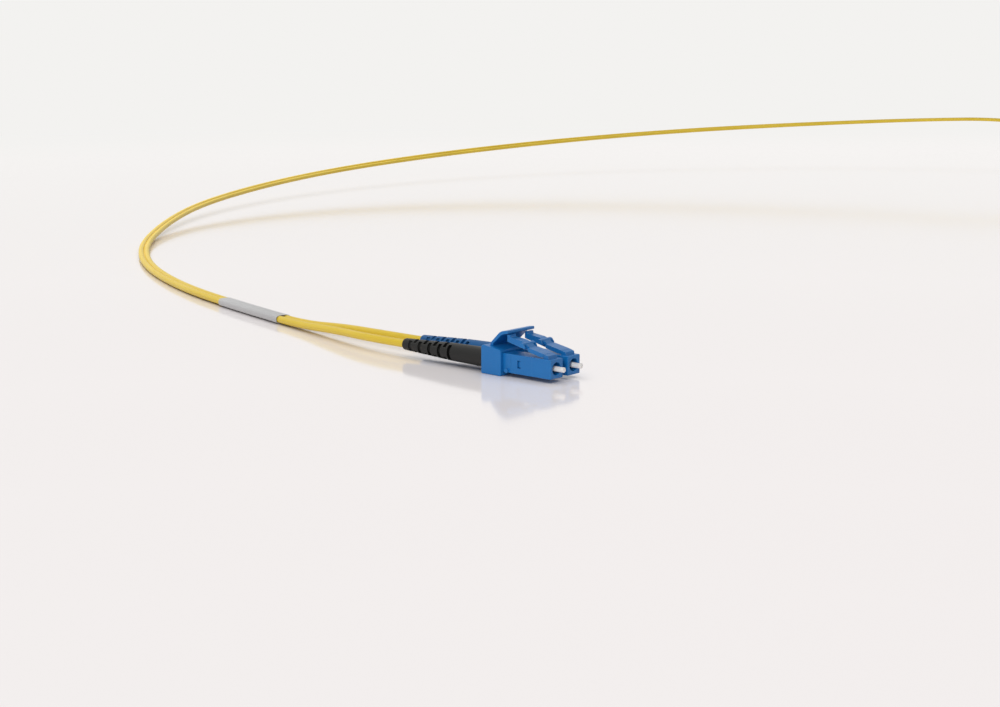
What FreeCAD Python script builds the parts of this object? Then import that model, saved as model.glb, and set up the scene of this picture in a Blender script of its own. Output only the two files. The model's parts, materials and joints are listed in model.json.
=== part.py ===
"""Duplex fibre optic patch cord, 2 m from tip to tip, with the same small-form connector on both ends.

All sizes are in millimetres. The origin is the centre of the near clip's flat underside, which rests on
the surface. +X runs along the plugs towards the ferrule tips, +Y to the left and +Z up.

A plug is drawn in its own frame: x = 0 at the housing's front face, y = z = 0 on the ferrule's axis.
A clip and its trigger are drawn in the connector's frame, whose origin is under the clip.
"""

import FreeCAD, Part
import math
import os
import Sketcher
from FreeCAD import Placement, Rotation, Vector

SIZES = {
    # plug body
    "pitch": 6.25,
    "axis_height": 3.15,
    "front_reach": 17.15,
    "housing_width": 4.5,
    "housing_length": 16.95,
    "front_bore": 2.95,
    "front_bore_depth": 5.0,
    "neck_bore": 2.4,
    "neck_length": 0.9,
    "cavity_bore": 3.7,
    "window_start": 8.9,
    "window_length": 1.0,
    "window_low": 0.85,
    "window_high": 1.0,
    "boss_place": 12.9,
    "boss_drop": 1.75,
    "boss_radius": 0.5,
    "boss_stand": 0.5,
    "lug_front": 1.3,
    "lug_rear": 2.6,
    "lug_rise": 1.1,
    "lug_foot": 0.1,
    # latch
    "latch_width": 3.2,
    "spine_width": 2.2,
    "ear_width": 4.4,
    # ferrule, its holder and its spring
    "ferrule_bore": 1.25,
    "ferrule_reach": 2.26,
    "ferrule_length": 9.6,
    "ferrule_chamfer": 0.15,
    "ferrule_taper_start": 6.1,
    "flange_size": 3.1,
    "flange_start": 5.92,
    "flange_length": 1.7,
    "stem_size": 1.6,
    "stem_length": 3.2,
    "fibre_size": 0.9,
    "fibre_length": 15.0,
    "spring_size": 2.8,
    "spring_wire": 0.35,
    "spring_turns": 6.0,
    "spring_gap": 0.02,
    # rear body, crimp sleeve and jacket end
    "seat_place": 12.6,
    "guide_start": 8.7,
    "guide_size": 3.6,
    "guide_bore": 3.0,
    "tab_stand": 1.8,
    "tab_play": 0.2,
    "stem_play": 0.3,
    "stem_room": 1.5,
    "solid_lap": 0.5,
    "shoulder_start": 17.05,
    "shoulder_end": 19.55,
    "shoulder_width": 4.3,
    "post_size": 2.6,
    "post_end": 24.8,
    "post_bore": 1.3,
    "crimp_size": 3.3,
    "crimp_bore": 2.64,
    "crimp_start": 20.3,
    "crimp_step": 25.0,
    "crimp_end": 28.5,
    "crimp_slope": 0.4,
    "crimp_neck_size": 2.7,
    "crimp_gap": 0.02,
    "jacket_size": 2.0,
    "jacket_bore": 1.1,
    "jacket_start": 25.3,
    # boot
    "boot_start": 20.25,
    "boot_end": 48.2,
    "boot_size": 4.8,
    "boot_waist": 32.5,
    "boot_waist_draw": 0.25,
    "boot_edge": 0.15,
    "boot_tail_round": 0.6,
    "boot_tail_edge": 0.3,
    "boot_tail_size": 2.9,
    "boot_bore": 3.5,
    "boot_bore_end": 28.7,
    "boot_cable_bore": 2.2,
    "slot_start": 31.7,
    "slot_pitch": 3.38,
    "slot_length": 1.1,
    "slot_half_width": 1.85,
    "slot_narrowing": 0.07,
    "slot_floor": 2.45,
    # clip and trigger, in the connector's frame
    "clip_width": 12.75,
    "clip_rear": 3.05,
    "clip_front": 3.05,
    "clip_rear_height": 6.9,
    "clip_front_height": 6.1,
    "pocket_gap": 0.02,
    "exit_play": 0.2,
    "trigger_width": 9.7,
    # cord, sleeves, coil and tie
    "cord_width": 4.1,
    "cord_thickness": 2.0,
    "sleeve_length": 40.0,
    "sleeve_wall": 0.2,
    "sleeve_grip": 3.0,
    "sleeve_play": 0.1,
    "coil_inner": 14.2,
    "coil_outer": 26.8,
    "coil_base": 0.4,
    "coil_rise": 4.2,
    "tie_width": 5.0,
    "tie_wall": 0.38,
    "tie_gap": 0.02,
    "tie_inner_gap": 0.25,
    "turn_gap": 0.05,
}

# Side outlines as (x, z) corners: the latch's in the plug's frame, the trigger's in the connector's.
OUTLINES = {
    "latch_root": [(-2.95, 2.47), (-3.5, 2.45), (-7.1, 3.26), (-7.1, 4.2), (-3.4, 3.5), (-2.95, 3.35), (-2.8, 2.9)],
    "latch_spine": [
        (-6.6, 3.15), (-13.85, 4.79), (-13.85, 6.42), (-13.1, 6.42), (-13.1, 5.88), (-9.6, 5.45), (-8.5, 5.1),
        (-7.1, 4.2), (-6.6, 4.1),
    ],
    "latch_ears": [(-8.95, 4.15), (-7.65, 3.9), (-7.65, 4.3), (-8.3, 5.1), (-8.95, 5.25)],
    "trigger_plate": [
        (-1.35, 6.95), (-0.85, 6.88), (-0.5, 7.15), (1.85, 9.3), (2.55, 9.6), (3.9, 9.85), (3.9, 10.57),
        (2.15, 10.35), (1.25, 9.9), (-1.4, 7.3),
    ],
}
for outline_name, outline_corners in OUTLINES.items():
    for number, (corner_x, corner_z) in enumerate(outline_corners):
        SIZES[f"{outline_name}_x{number}"] = corner_x
        SIZES[f"{outline_name}_z{number}"] = corner_z

SLOT_COUNT = 9
SIDES = {"a": -1, "b": 1}

# The near legs and the main cord lie in the origin's frame, from the boot's mouth to the coil.
NEAR_LEG_ROUTES = {
    "a": [
        (-31.05, -3.125, 3.15),
        (-44.0, -3.125, 3.15),
        (-62.0, 1.2, 2.6),
        (-80.35, 5.4, 1.3),
        (-93.99, 8.7, 1.3),
    ],
    "b": [
        (-31.05, 3.125, 3.15),
        (-44.0, 3.125, 3.15),
        (-62.0, 5.6, 2.6),
        (-79.9, 7.4, 1.3),
        (-93.5, 10.7, 1.3),
    ],
}
NEAR_SPLIT = (-93.75, 9.7, 1.3)
NEAR_HEADING = (-0.9714, 0.2375, 0.0)
MAIN_ROUTE = [
    NEAR_SPLIT,
    (-130.4, 18.7, 1.3),
    (-172.0, 33.0, 1.1),
    (-215.0, 53.5, 1.05),
    (-254.0, 79.0, 1.1),
    (-287.0, 106.0, 1.7),
    (-326.0, 146.0, 3.6),
    (-359.0, 188.0, 5.7),
    (-388.0, 240.0, 8.0),
    (-410.0, 294.0, 10.4),
    (-424.0, 347.0, 12.8),
    (-430.0, 400.0, 15.3),
    (-429.5, 452.0, 17.9),
    (-422.5, 504.0, 20.6),
    (-409.0, 552.0, 23.3),
    (-389.0, 599.0, 26.0),
    (-362.0, 642.0, 28.5),
    (-329.0, 681.0, 30.8),
    (-292.0, 714.0, 32.9),
    (-249.0, 741.0, 34.9),
    (-205.0, 756.0, 36.0),
    (-165.0, 766.0, 31.0),
    (-130.0, 766.0, 20.0),
    (-101.0, 757.0, 9.5),
    (-81.0, 746.5, 2.6),
]
COIL_CENTRE = (-75.0, 713.0, 0.0)
COIL_ENTRY_ANGLE = 60.0

# The far connector's place, and in its own frame the legs' route and the last two points of the cord's.
FAR = Placement(Vector(-31.0, 540.0, 0.0), Rotation(Vector(0, 0, 1), -78.0))
FAR_LEG_ROUTE = [
    (-31.05, 3.125, 3.15),
    (-44.0, 3.125, 3.15),
    (-61.0, 2.5, 2.5),
    (-79.0, 1.025, 1.3),
    (-93.0, 1.025, 1.3),
]
FAR_BEND = (-130.0, 0.0, 1.3)
FAR_SPLIT = (-93.0, 0.0, 1.3)
# From the coil's top turn, the cord's first step down towards the far connector.
TAIL_STEP = (0.6, -24.0, -2.0)
CORD_LENGTH = 2000.0


# ---------------------------------------------------------------------------------------- sheet and helpers


def size_sheet(doc):
    """The spreadsheet of driving dimensions, one aliased cell each."""
    sheet = doc.addObject("Spreadsheet::Sheet", "sizes")
    for row, (name, value) in enumerate(SIZES.items(), start=1):
        sheet.set(f"A{row}", name)
        sheet.set(f"B{row}", f"{value:g}")
        sheet.setAlias(f"B{row}", name)
    doc.recompute()
    return sheet


def origin_plane(body, role):
    """A body's own origin plane with that role."""
    return next(feature for feature in body.Origin.OriginFeatures if feature.Role == role)


def cells(text):
    """An expression in which each plain word is a cell of the sheet."""
    return " ".join(f"sizes.{word}" if word in SIZES else word for word in text.split())


def new_body(doc, label, place):
    """A body with its label and place."""
    body = doc.addObject("PartDesign::Body", label)
    body.Label = label
    body.Placement = place
    return body


def outline(body, name, role, corners):
    """A closed outline on one of the body's origin planes, each corner tied to the sheet."""
    sketch = body.newObject("Sketcher::SketchObject", name)
    sketch.AttachmentSupport = [(origin_plane(body, role), "")]
    sketch.MapMode = "FlatFace"
    count = len(corners)
    turn = 2 * math.pi / count
    starts = [Vector(10 * math.cos(turn * i), 10 * math.sin(turn * i), 0) for i in range(count)]
    for i in range(count):
        sketch.addGeometry(Part.LineSegment(starts[i], starts[(i + 1) % count]), False)
    for i in range(count):
        sketch.addConstraint(Sketcher.Constraint("Coincident", i, 2, (i + 1) % count, 1))
    for i, (across, up) in enumerate(corners):
        for kind, text, start in (("DistanceX", across, starts[i].x), ("DistanceY", up, starts[i].y)):
            index = sketch.addConstraint(Sketcher.Constraint(kind, -1, 1, i, 1, start))
            sketch.setExpression(f"Constraints[{index}]", cells(text))
    return sketch


def named_outline(name):
    """The corners of one of OUTLINES, as names of cells."""
    return [(f"{name}_x{i}", f"{name}_z{i}") for i in range(len(OUTLINES[name]))]


def symmetric_pad(body, name, sketch, width):
    """A pad of the sketch, half its width to each side of the plane."""
    pad = body.newObject("PartDesign::Pad", name)
    pad.Profile = sketch
    pad.SideType = "Symmetric"
    pad.setExpression("Length", cells(width))
    return pad


def turned(body, name, corners):
    """A solid of revolution about the body's X axis from an outline in its XZ plane."""
    sketch = outline(body, f"{name}_outline", "XZ_Plane", corners)
    spin = body.newObject("PartDesign::Revolution", name)
    spin.Profile = sketch
    spin.ReferenceAxis = (sketch, ["H_Axis"])
    spin.Angle = 360
    return spin


def block(doc, name, x_range, y_range, z_range):
    """A box between pairs of expressions."""
    box = doc.addObject("Part::Box", name)
    for size, axis, (low, high) in zip(("Length", "Width", "Height"), "xyz", (x_range, y_range, z_range)):
        box.setExpression(size, cells(f"( {high} ) - ( {low} )"))
        box.setExpression(f"Placement.Base.{axis}", cells(low))
    return box


def rod(doc, name, diameter, low, high, across=None):
    """A cylinder along X between two expressions, or along Y through across = (x, z)."""
    cylinder = doc.addObject("Part::Cylinder", name)
    cylinder.setExpression("Radius", cells(f"( {diameter} ) / 2"))
    cylinder.setExpression("Height", cells(f"( {high} ) - ( {low} )"))
    if across is None:
        cylinder.Placement = Placement(Vector(0, 0, 0), Rotation(Vector(0, 1, 0), 90))
        cylinder.setExpression("Placement.Base.x", cells(low))
    else:
        cylinder.Placement = Placement(Vector(0, 0, 0), Rotation(Vector(1, 0, 0), -90))
        cylinder.setExpression("Placement.Base.x", cells(across[0]))
        cylinder.setExpression("Placement.Base.y", cells(low))
        cylinder.setExpression("Placement.Base.z", cells(across[1]))
    return cylinder


def joined(doc, name, shapes):
    """The union of several shapes."""
    union = doc.addObject("Part::MultiFuse", name)
    union.Shapes = shapes
    return union


def cut_from(doc, label, base, tools, place):
    """The base with the tools cut away, as the sub-part of that label."""
    piece = doc.addObject("Part::Cut", label)
    piece.Label = label
    piece.Base = base
    piece.Tool = joined(doc, f"{label}_tools", tools) if len(tools) > 1 else tools[0]
    piece.Placement = place
    return piece


# ---------------------------------------------------------------------------------------- plug


def housing(doc, label, place):
    """The square front housing with its bore, latch lug, side windows and side bosses."""
    half = "housing_width / 2"
    shell = block(doc, f"{label}_block", ("- housing_length", "0"), (f"- {half}", half), (f"- {half}", half))
    lug = block(
        doc, f"{label}_lug", ("- lug_rear", "- lug_front"), ("- latch_width / 2", "latch_width / 2"),
        (f"{half} - lug_foot", f"{half} + lug_rise"),
    )
    reach = f"{half} + boss_stand"
    boss_middle = ("- boss_place", "- boss_drop")
    bosses = rod(doc, f"{label}_bosses", "2 * boss_radius", f"- ( {reach} )", reach, boss_middle)
    neck_end = "front_bore_depth + neck_length"
    tools = [
        rod(doc, f"{label}_front_bore", "front_bore", "- front_bore_depth", "1"),
        rod(doc, f"{label}_neck", "neck_bore", f"- ( {neck_end} ) - 1", "0"),
        rod(doc, f"{label}_cavity", "cavity_bore", "- housing_length - 1", f"- ( {neck_end} )"),
        block(
            doc, f"{label}_windows", ("- window_start - window_length", "- window_start"),
            ("- housing_width", "housing_width"), ("- window_low", "window_high"),
        ),
    ]
    whole = joined(doc, f"{label}_whole", [shell, lug, bosses])
    return cut_from(doc, label, whole, tools, place)


def latch(doc, label, place):
    """The sprung arm over the housing: its wide root, its slim spine with the thumb tab, and its two ears."""
    body = new_body(doc, label, place)
    for part, width in (("latch_root", "latch_width"), ("latch_spine", "spine_width"), ("latch_ears", "ear_width")):
        symmetric_pad(body, part, outline(body, f"{part}_side", "XZ_Plane", named_outline(part)), width)
    return body


def ferrule(doc, label, place):
    """The polished ceramic ferrule, chamfered at its tip and tapered where its holder grips it."""
    body = new_body(doc, label, place)
    radius = "ferrule_bore / 2"
    rear = "ferrule_reach - ferrule_length"
    corners = [
        (rear, "0"), (rear, "fibre_size / 2"), ("- ferrule_taper_start", radius),
        ("ferrule_reach - ferrule_chamfer", radius), ("ferrule_reach", f"{radius} - ferrule_chamfer"),
        ("ferrule_reach", "0"),
    ]
    turned(body, "Ferrule", corners)
    return body


def ferrule_holder(doc, label, place):
    """The metal flange that grips the ferrule, with the stem that guides the spring."""
    body = new_body(doc, label, place)
    rear = "- flange_start - flange_length"
    corners = [
        ("- flange_start", "ferrule_bore / 2"), ("- flange_start", "flange_size / 2"),
        (rear, "flange_size / 2"), (rear, "stem_size / 2"), (f"{rear} - stem_length", "stem_size / 2"),
        (f"{rear} - stem_length", "fibre_size / 2"), ("ferrule_reach - ferrule_length", "fibre_size / 2"),
        ("- ferrule_taper_start", "ferrule_bore / 2"),
    ]
    turned(body, "Holder", corners)
    return body


def buffered_fibre(doc, label, place):
    """The tight-buffered fibre from the ferrule's rear end into the cable."""
    body = new_body(doc, label, place)
    front, radius = "ferrule_reach - ferrule_length", "fibre_size / 2"
    rear = f"{front} - fibre_length"
    turned(body, "Fibre", [(rear, "0"), (rear, radius), (front, radius), (front, "0")])
    return body


def spring(doc, label, place, sheet):
    """The compression spring between the holder's flange and the rear body's seat."""
    wire, gap = sheet.spring_wire, sheet.spring_gap
    radius = (sheet.spring_size - wire) / 2
    front = -(sheet.flange_start + sheet.flange_length) - wire / 2 - gap
    length = sheet.seat_place + front - wire / 2 - gap
    helix = Part.makeHelix(length / sheet.spring_turns, length, radius)
    ring = Part.Wire(Part.makeCircle(wire / 2, Vector(radius, 0, 0), Vector(0, 1, 0)))
    coil = Part.Wire(helix.Edges).makePipeShell([ring], True, True)
    feature = doc.addObject("Part::Feature", label)
    feature.Label = label
    feature.Shape = coil
    feature.Placement = place * Placement(Vector(front, 0, 0), Rotation(Vector(0, 1, 0), -90))
    return feature


def rear_body(doc, label, place):
    """The rear body: spring guide with two snap tabs, square shoulder and the post for the crimp sleeve."""
    tab_along = ("- window_start - window_length + tab_play", "- window_start - tab_play")
    tab_up = ("- window_low + tab_play", "window_high - tab_play")
    half = ("- shoulder_width / 2", "shoulder_width / 2")
    solids = [
        rod(doc, f"{label}_guide", "guide_size", "- shoulder_start - solid_lap", "- guide_start"),
        block(doc, f"{label}_tabs", tab_along, ("- tab_stand", "tab_stand"), tab_up),
        block(doc, f"{label}_shoulder", ("- shoulder_end", "- shoulder_start"), half, half),
        rod(doc, f"{label}_post", "post_size", "- post_end", "- shoulder_end + solid_lap"),
    ]
    tools = [
        rod(doc, f"{label}_spring_bore", "guide_bore", "- seat_place", "0"),
        rod(doc, f"{label}_fibre_bore", "post_bore", "- post_end - 1", "0"),
        rod(doc, f"{label}_stem_bore", "stem_size + stem_play", "- seat_place - stem_room", "0"),
    ]
    return cut_from(doc, label, joined(doc, f"{label}_whole", solids), tools, place)


def crimp_sleeve(doc, label, place):
    """The stepped metal sleeve crimped over the post and onto the cable's jacket."""
    body = new_body(doc, label, place)
    grip = "jacket_size / 2 + crimp_gap"
    corners = [
        ("- crimp_start", "crimp_bore / 2"), ("- crimp_start", "crimp_size / 2"),
        ("- crimp_step", "crimp_size / 2"), ("- crimp_step - crimp_slope", "crimp_neck_size / 2"),
        ("- crimp_end", "crimp_neck_size / 2"),
        ("- crimp_end", grip), ("- crimp_step", grip), ("- crimp_step", "crimp_bore / 2"),
    ]
    turned(body, "Sleeve", corners)
    return body


def jacket_end(doc, label, place):
    """The end of the cable's jacket, from the crimp sleeve to the boot's mouth."""
    outer = rod(doc, f"{label}_outer", "jacket_size", "- boot_end", "- jacket_start")
    inner = rod(doc, f"{label}_inner", "jacket_bore", "- boot_end - 1", "- jacket_start + 1")
    return cut_from(doc, label, outer, [inner], place)


def boot(doc, label, place):
    """The strain relief boot, tapered towards its tail and grooved in turn at its sides and its top and bottom."""
    body = doc.addObject("PartDesign::Body", f"{label}_blank")
    front, tail = "boot_size / 2", "boot_tail_size / 2"
    corners = [
        ("- boot_start", "boot_bore / 2"), ("- boot_start", f"{front} - boot_edge"),
        ("- boot_start - boot_edge", front), ("- boot_waist", f"{front} - boot_waist_draw"),
        ("- boot_end + boot_tail_round", tail), ("- boot_end", f"{tail} - boot_tail_edge"),
        ("- boot_end", "boot_cable_bore / 2"), ("- boot_bore_end", "boot_cable_bore / 2"),
        ("- boot_bore_end", "boot_bore / 2"),
    ]
    turned(body, "Blank", corners)
    slots = []
    through = ("- boot_size", "boot_size")
    for i in range(SLOT_COUNT):
        middle = f"- slot_start - {i / 2} * slot_pitch"
        along = (f"{middle} - slot_length / 2", f"{middle} + slot_length / 2")
        half = f"( slot_half_width - {i} * slot_narrowing )"
        window = (f"- {half}", half)
        ways = (through, window) if i % 2 == 0 else (window, through)
        slots.append(block(doc, f"{label}_slot_{i}", along, *ways))
    grooves = doc.addObject("Part::Cut", f"{label}_grooves")
    grooves.Base = joined(doc, f"{label}_slots", slots)
    grooves.Tool = rod(doc, f"{label}_core", "slot_floor", "- boot_end", "- boot_bore_end")
    return cut_from(doc, label, body, [grooves], place)


# ---------------------------------------------------------------------------------------- clip and trigger


def clip(doc, label, place):
    """The duplex clip that holds the two plugs at their pitch and rests on the surface."""
    body = doc.addObject("PartDesign::Body", f"{label}_blank")
    side = [
        ("- clip_rear", "0"), ("clip_front", "0"), ("clip_front", "clip_front_height"),
        ("- clip_rear", "clip_rear_height"),
    ]
    symmetric_pad(body, "Block", outline(body, "Side", "XZ_Plane", side), "clip_width")
    tools = []
    for side_name, side_sign in SIDES.items():
        middle = f"{side_sign} * pitch / 2"
        for part, width, ends in (
            ("housing", "housing_width", ("front_reach - shoulder_start", "clip_front + 1")),
            ("shoulder", "shoulder_width", ("front_reach - shoulder_end - pocket_gap", "clip_front")),
        ):
            half = f"( {width} / 2 + pocket_gap )"
            tools.append(
                block(
                    doc, f"{label}_{part}_{side_name}", ends, (f"{middle} - {half}", f"{middle} + {half}"),
                    (f"axis_height - {half}", f"axis_height + {half}"),
                )
            )
        exit_hole = rod(doc, f"{label}_exit_{side_name}", "crimp_size + exit_play", "- clip_rear - 1", "0")
        exit_hole.setExpression("Placement.Base.y", cells(middle))
        exit_hole.setExpression("Placement.Base.z", cells("axis_height"))
        tools.append(exit_hole)
    return cut_from(doc, label, body, tools, place)


def trigger(doc, label, place):
    """The hooded lever on the clip that presses both latches down at once."""
    body = new_body(doc, label, place)
    side = outline(body, "PlateSide", "XZ_Plane", named_outline("trigger_plate"))
    symmetric_pad(body, "Plate", side, "trigger_width")
    return body


# ---------------------------------------------------------------------------------------- cords


def bent_path(route):
    """Straight runs joined by tangent arcs, as one wire, with its length and each arc's radius."""
    points = [Vector(*point) for point in route]
    edges, radii, last = [], [], points[0]
    for before, corner, after in zip(points, points[1:], points[2:]):
        back, on = before - corner, after - corner
        reach = 0.45 * min(back.Length, on.Length)
        back.normalize()
        on.normalize()
        turn = math.pi - back.getAngle(on)
        radius = reach / math.tan(turn / 2)
        begin, end = corner + back * reach, corner + on * reach
        middle_way = back + on
        middle_way.normalize()
        middle = corner + middle_way * (radius / math.cos(turn / 2) - radius)
        edges.append(Part.LineSegment(last, begin).toShape())
        edges.append(Part.Arc(begin, middle, end).toShape())
        radii.append(radius)
        last = end
    edges.append(Part.LineSegment(last, points[-1]).toShape())
    return Part.Wire(edges), sum(edge.Length for edge in edges), radii


def round_section(start, heading, diameter):
    """A circle across the heading."""
    return Part.Wire(Part.makeCircle(diameter / 2, start, heading))


def flat_section(start, heading, width, thickness):
    """A level slot-shaped outline across the heading, its two ends half round."""
    across = heading.cross(Vector(0, 0, 1))
    across.normalize()
    up = across.cross(heading)
    half, radius = (width - thickness) / 2, thickness / 2
    left, right = start - across * half, start + across * half
    edges = [
        Part.LineSegment(left + up * radius, right + up * radius).toShape(),
        Part.Arc(right + up * radius, right + across * radius, right - up * radius).toShape(),
        Part.LineSegment(right - up * radius, left - up * radius).toShape(),
        Part.Arc(left - up * radius, left - across * radius, left + up * radius).toShape(),
    ]
    return Part.Wire(edges)


def tube(doc, label, route, section, place):
    """A cord's solid along its route, from a function that draws its section."""
    path, length, radii = bent_path(route)
    start = Vector(*route[0])
    heading = Vector(*route[1]) - start
    heading.normalize()
    outline_wire = section(start, heading)
    solid = path.makePipeShell([outline_wire], True, False)
    area = Part.Face(outline_wire).Area
    share = solid.Volume / (area * length)
    print(f"{label}: {length:.1f} mm long, volume {share:.3f} of section x length, "
          f"radii {min(radii):.0f} to {max(radii):.0f} mm")
    if abs(share - 1) > 0.03:
        raise ValueError(f"{label} has the wrong volume")
    feature = doc.addObject("Part::Feature", label)
    feature.Label = label
    feature.Shape = solid
    feature.Placement = place
    return feature, length


def sleeve(doc, label, split, heading, sheet):
    """The shrink sleeve over the place where the cord divides into its two legs."""
    direction = Vector(*heading)
    start = Vector(*split) - direction * sheet.sleeve_grip
    solids = []
    for wall in (sheet.sleeve_wall, 0.0):
        growth = 2 * wall + sheet.sleeve_play
        width, thickness = sheet.cord_width + growth, sheet.cord_thickness + growth
        face = Part.Face(flat_section(start, direction, width, thickness))
        solids.append(face.extrude(direction * sheet.sleeve_length))
    feature = doc.addObject("Part::Feature", label)
    feature.Label = label
    feature.Shape = solids[0].cut(solids[1])
    return feature


def coil(doc, label):
    """The coiled length as one plain ring."""
    outer = doc.addObject("Part::Cylinder", f"{label}_outer")
    inner = doc.addObject("Part::Cylinder", f"{label}_inner")
    for cylinder, radius in ((outer, "coil_outer"), (inner, "coil_inner")):
        cylinder.setExpression("Radius", cells(radius))
        cylinder.setExpression("Height", cells("coil_rise"))
    centre = Vector(*COIL_CENTRE) + Vector(0, 0, SIZES["coil_base"])
    return cut_from(doc, label, outer, [inner], Placement(centre, Rotation()))


def coil_tie(doc, label):
    """The strap round the coil's turns, on the side away from where the cord comes in."""
    outside = ("- coil_outer - tie_wall - tie_gap", "- coil_inner + tie_wall + tie_inner_gap")
    inside = ("- coil_outer - tie_gap", "- coil_inner + tie_inner_gap")
    across = ("- tie_width / 2", "tie_width / 2")
    band = block(doc, f"{label}_band", outside, across, ("0", "coil_base + coil_rise + tie_wall"))
    hole = block(
        doc, f"{label}_hole", inside, ("- tie_width", "tie_width"),
        ("coil_base - tie_gap", "coil_base + coil_rise + tie_gap"),
    )
    return cut_from(doc, label, band, [hole], Placement(Vector(*COIL_CENTRE), Rotation()))


# ---------------------------------------------------------------------------------------- assembly


def connector(doc, end, place, sheet):
    """One duplex connector: two plugs, their clip and the trigger."""
    pieces = [clip(doc, f"{end}_clip", place), trigger(doc, f"{end}_trigger", place)]
    for name, sign in SIDES.items():
        axis = Vector(sheet.front_reach, sign * sheet.pitch / 2, sheet.axis_height)
        plug = place * Placement(axis, Rotation())
        for make in (
            housing, latch, ferrule, ferrule_holder, buffered_fibre, rear_body, crimp_sleeve, jacket_end, boot,
        ):
            pieces.append(make(doc, f"{end}_{make.__name__}_{name}", plug))
        pieces.append(spring(doc, f"{end}_spring_{name}", plug, sheet))
    return pieces


def coil_exit(sheet):
    """Where the cord leaves the coil's top turn, level with its outer side and towards -Y."""
    radius = sheet.coil_outer - sheet.cord_width / 2
    height = sheet.coil_base + sheet.coil_rise - sheet.cord_thickness / 2
    return Vector(COIL_CENTRE[0] + radius, COIL_CENTRE[1], height)


def coil_entry(sheet):
    """Where the cord meets the coil's bottom turn."""
    radius = sheet.coil_outer - sheet.cord_width / 2
    angle = math.radians(COIL_ENTRY_ANGLE)
    height = sheet.coil_base + sheet.cord_thickness / 2 + sheet.turn_gap
    return Vector(COIL_CENTRE[0] + radius * math.cos(angle), COIL_CENTRE[1] + radius * math.sin(angle), height)


def cords(doc, sheet):
    """The legs, the main cord's two stretches, the sleeves, the coil and its tie."""
    def leg(start, heading):
        return round_section(start, heading, sheet.jacket_size)

    def flat(start, heading):
        return flat_section(start, heading, sheet.cord_width, sheet.cord_thickness)

    pieces, total = [], 2 * (sheet.boot_end + sheet.ferrule_reach)
    for name, route in NEAR_LEG_ROUTES.items():
        piece, leg_length = tube(doc, f"near_leg_{name}", route, leg, Placement())
        pieces.append(piece)
    total += leg_length
    for name, sign in SIDES.items():
        route = [(x, sign * y, z) for x, y, z in FAR_LEG_ROUTE]
        piece, leg_length = tube(doc, f"far_leg_{name}", route, leg, FAR)
        pieces.append(piece)
    total += leg_length
    into, out = coil_entry(sheet), coil_exit(sheet)
    bend, split = FAR.multVec(Vector(*FAR_BEND)), FAR.multVec(Vector(*FAR_SPLIT))
    for label, route in (
        ("main_cord", [*MAIN_ROUTE, into]),
        ("tail_cord", [out, out + Vector(*TAIL_STEP), bend, split]),
    ):
        piece, length = tube(doc, label, [tuple(point) for point in route], flat, Placement())
        pieces.append(piece)
        total += length
    pieces.append(sleeve(doc, "near_sleeve", NEAR_SPLIT, NEAR_HEADING, sheet))
    pieces.append(sleeve(doc, "far_sleeve", split, FAR.Rotation.multVec(Vector(-1, 0, 0)), sheet))
    pieces += [coil(doc, "coil"), coil_tie(doc, "coil_tie")]
    print(f"{total:.0f} mm uncoiled with both connectors, and {CORD_LENGTH - total:.0f} mm in the coil")
    return pieces


def check(doc, pieces):
    """Stops the build if an object failed or a sub-part has no valid solid."""
    for item in doc.Objects:
        if "Invalid" in item.State or "Error" in item.State:
            raise ValueError(f"{item.Label} is {item.State}")
    for piece in pieces:
        shape = piece.Shape
        if shape.isNull() or not shape.isValid() or not shape.Solids:
            raise ValueError(f"{piece.Label} has no valid solid")


def main():
    """Builds the patch cord and writes one STEP file for each sub-part."""
    doc = FreeCAD.newDocument("patch_cord")
    sheet = size_sheet(doc)
    pieces = connector(doc, "near", Placement(), sheet)
    pieces += connector(doc, "far", FAR, sheet)
    pieces += cords(doc, sheet)
    doc.recompute()
    check(doc, pieces)
    os.makedirs("parts", exist_ok=True)
    for piece in pieces:
        piece.Shape.exportStep(f"parts/{piece.Label}.step")
    print(f"{len(pieces)} sub-parts written")


main()
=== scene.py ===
"""Looks of a duplex fibre optic patch cord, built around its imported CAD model.

Blender objects are in metres, in the CAD model's frame. The classes hold their sizes in millimetres and draw
each piece in its own frame: a plug has x = 0 at its housing's front face and y = z = 0 on the ferrule's axis,
and a connector has its origin under the middle of its clip, +X towards the ferrule tips and +Z up.
"""

import json
import logging
import math
from dataclasses import dataclass
from enum import Enum
from typing import Callable, Iterable, Optional, Sequence

import bmesh
import bpy
from mathutils import Matrix, Vector


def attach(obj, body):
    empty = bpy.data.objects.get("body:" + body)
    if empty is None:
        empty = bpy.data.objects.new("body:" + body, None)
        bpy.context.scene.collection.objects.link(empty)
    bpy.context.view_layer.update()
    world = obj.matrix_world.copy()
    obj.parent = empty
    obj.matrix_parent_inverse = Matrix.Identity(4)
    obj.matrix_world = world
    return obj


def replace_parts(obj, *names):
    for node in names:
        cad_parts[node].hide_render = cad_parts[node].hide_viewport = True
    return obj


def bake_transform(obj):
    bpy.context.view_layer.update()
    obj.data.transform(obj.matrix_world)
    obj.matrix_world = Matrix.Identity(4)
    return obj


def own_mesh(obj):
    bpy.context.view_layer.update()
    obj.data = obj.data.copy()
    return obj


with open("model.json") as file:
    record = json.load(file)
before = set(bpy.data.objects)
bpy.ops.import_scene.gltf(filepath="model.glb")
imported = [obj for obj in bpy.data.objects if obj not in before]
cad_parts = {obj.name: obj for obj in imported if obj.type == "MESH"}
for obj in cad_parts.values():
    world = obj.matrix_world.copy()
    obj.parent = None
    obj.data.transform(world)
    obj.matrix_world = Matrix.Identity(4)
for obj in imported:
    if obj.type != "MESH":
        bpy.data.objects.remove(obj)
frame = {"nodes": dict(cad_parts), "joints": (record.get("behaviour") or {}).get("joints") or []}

LOG = logging.getLogger("patch_cord")
MM = 0.001
Corner = tuple[float, float, float]
Point2 = tuple[float, float]
SHARE: Point2 = (0.0, 1.0)
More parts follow.
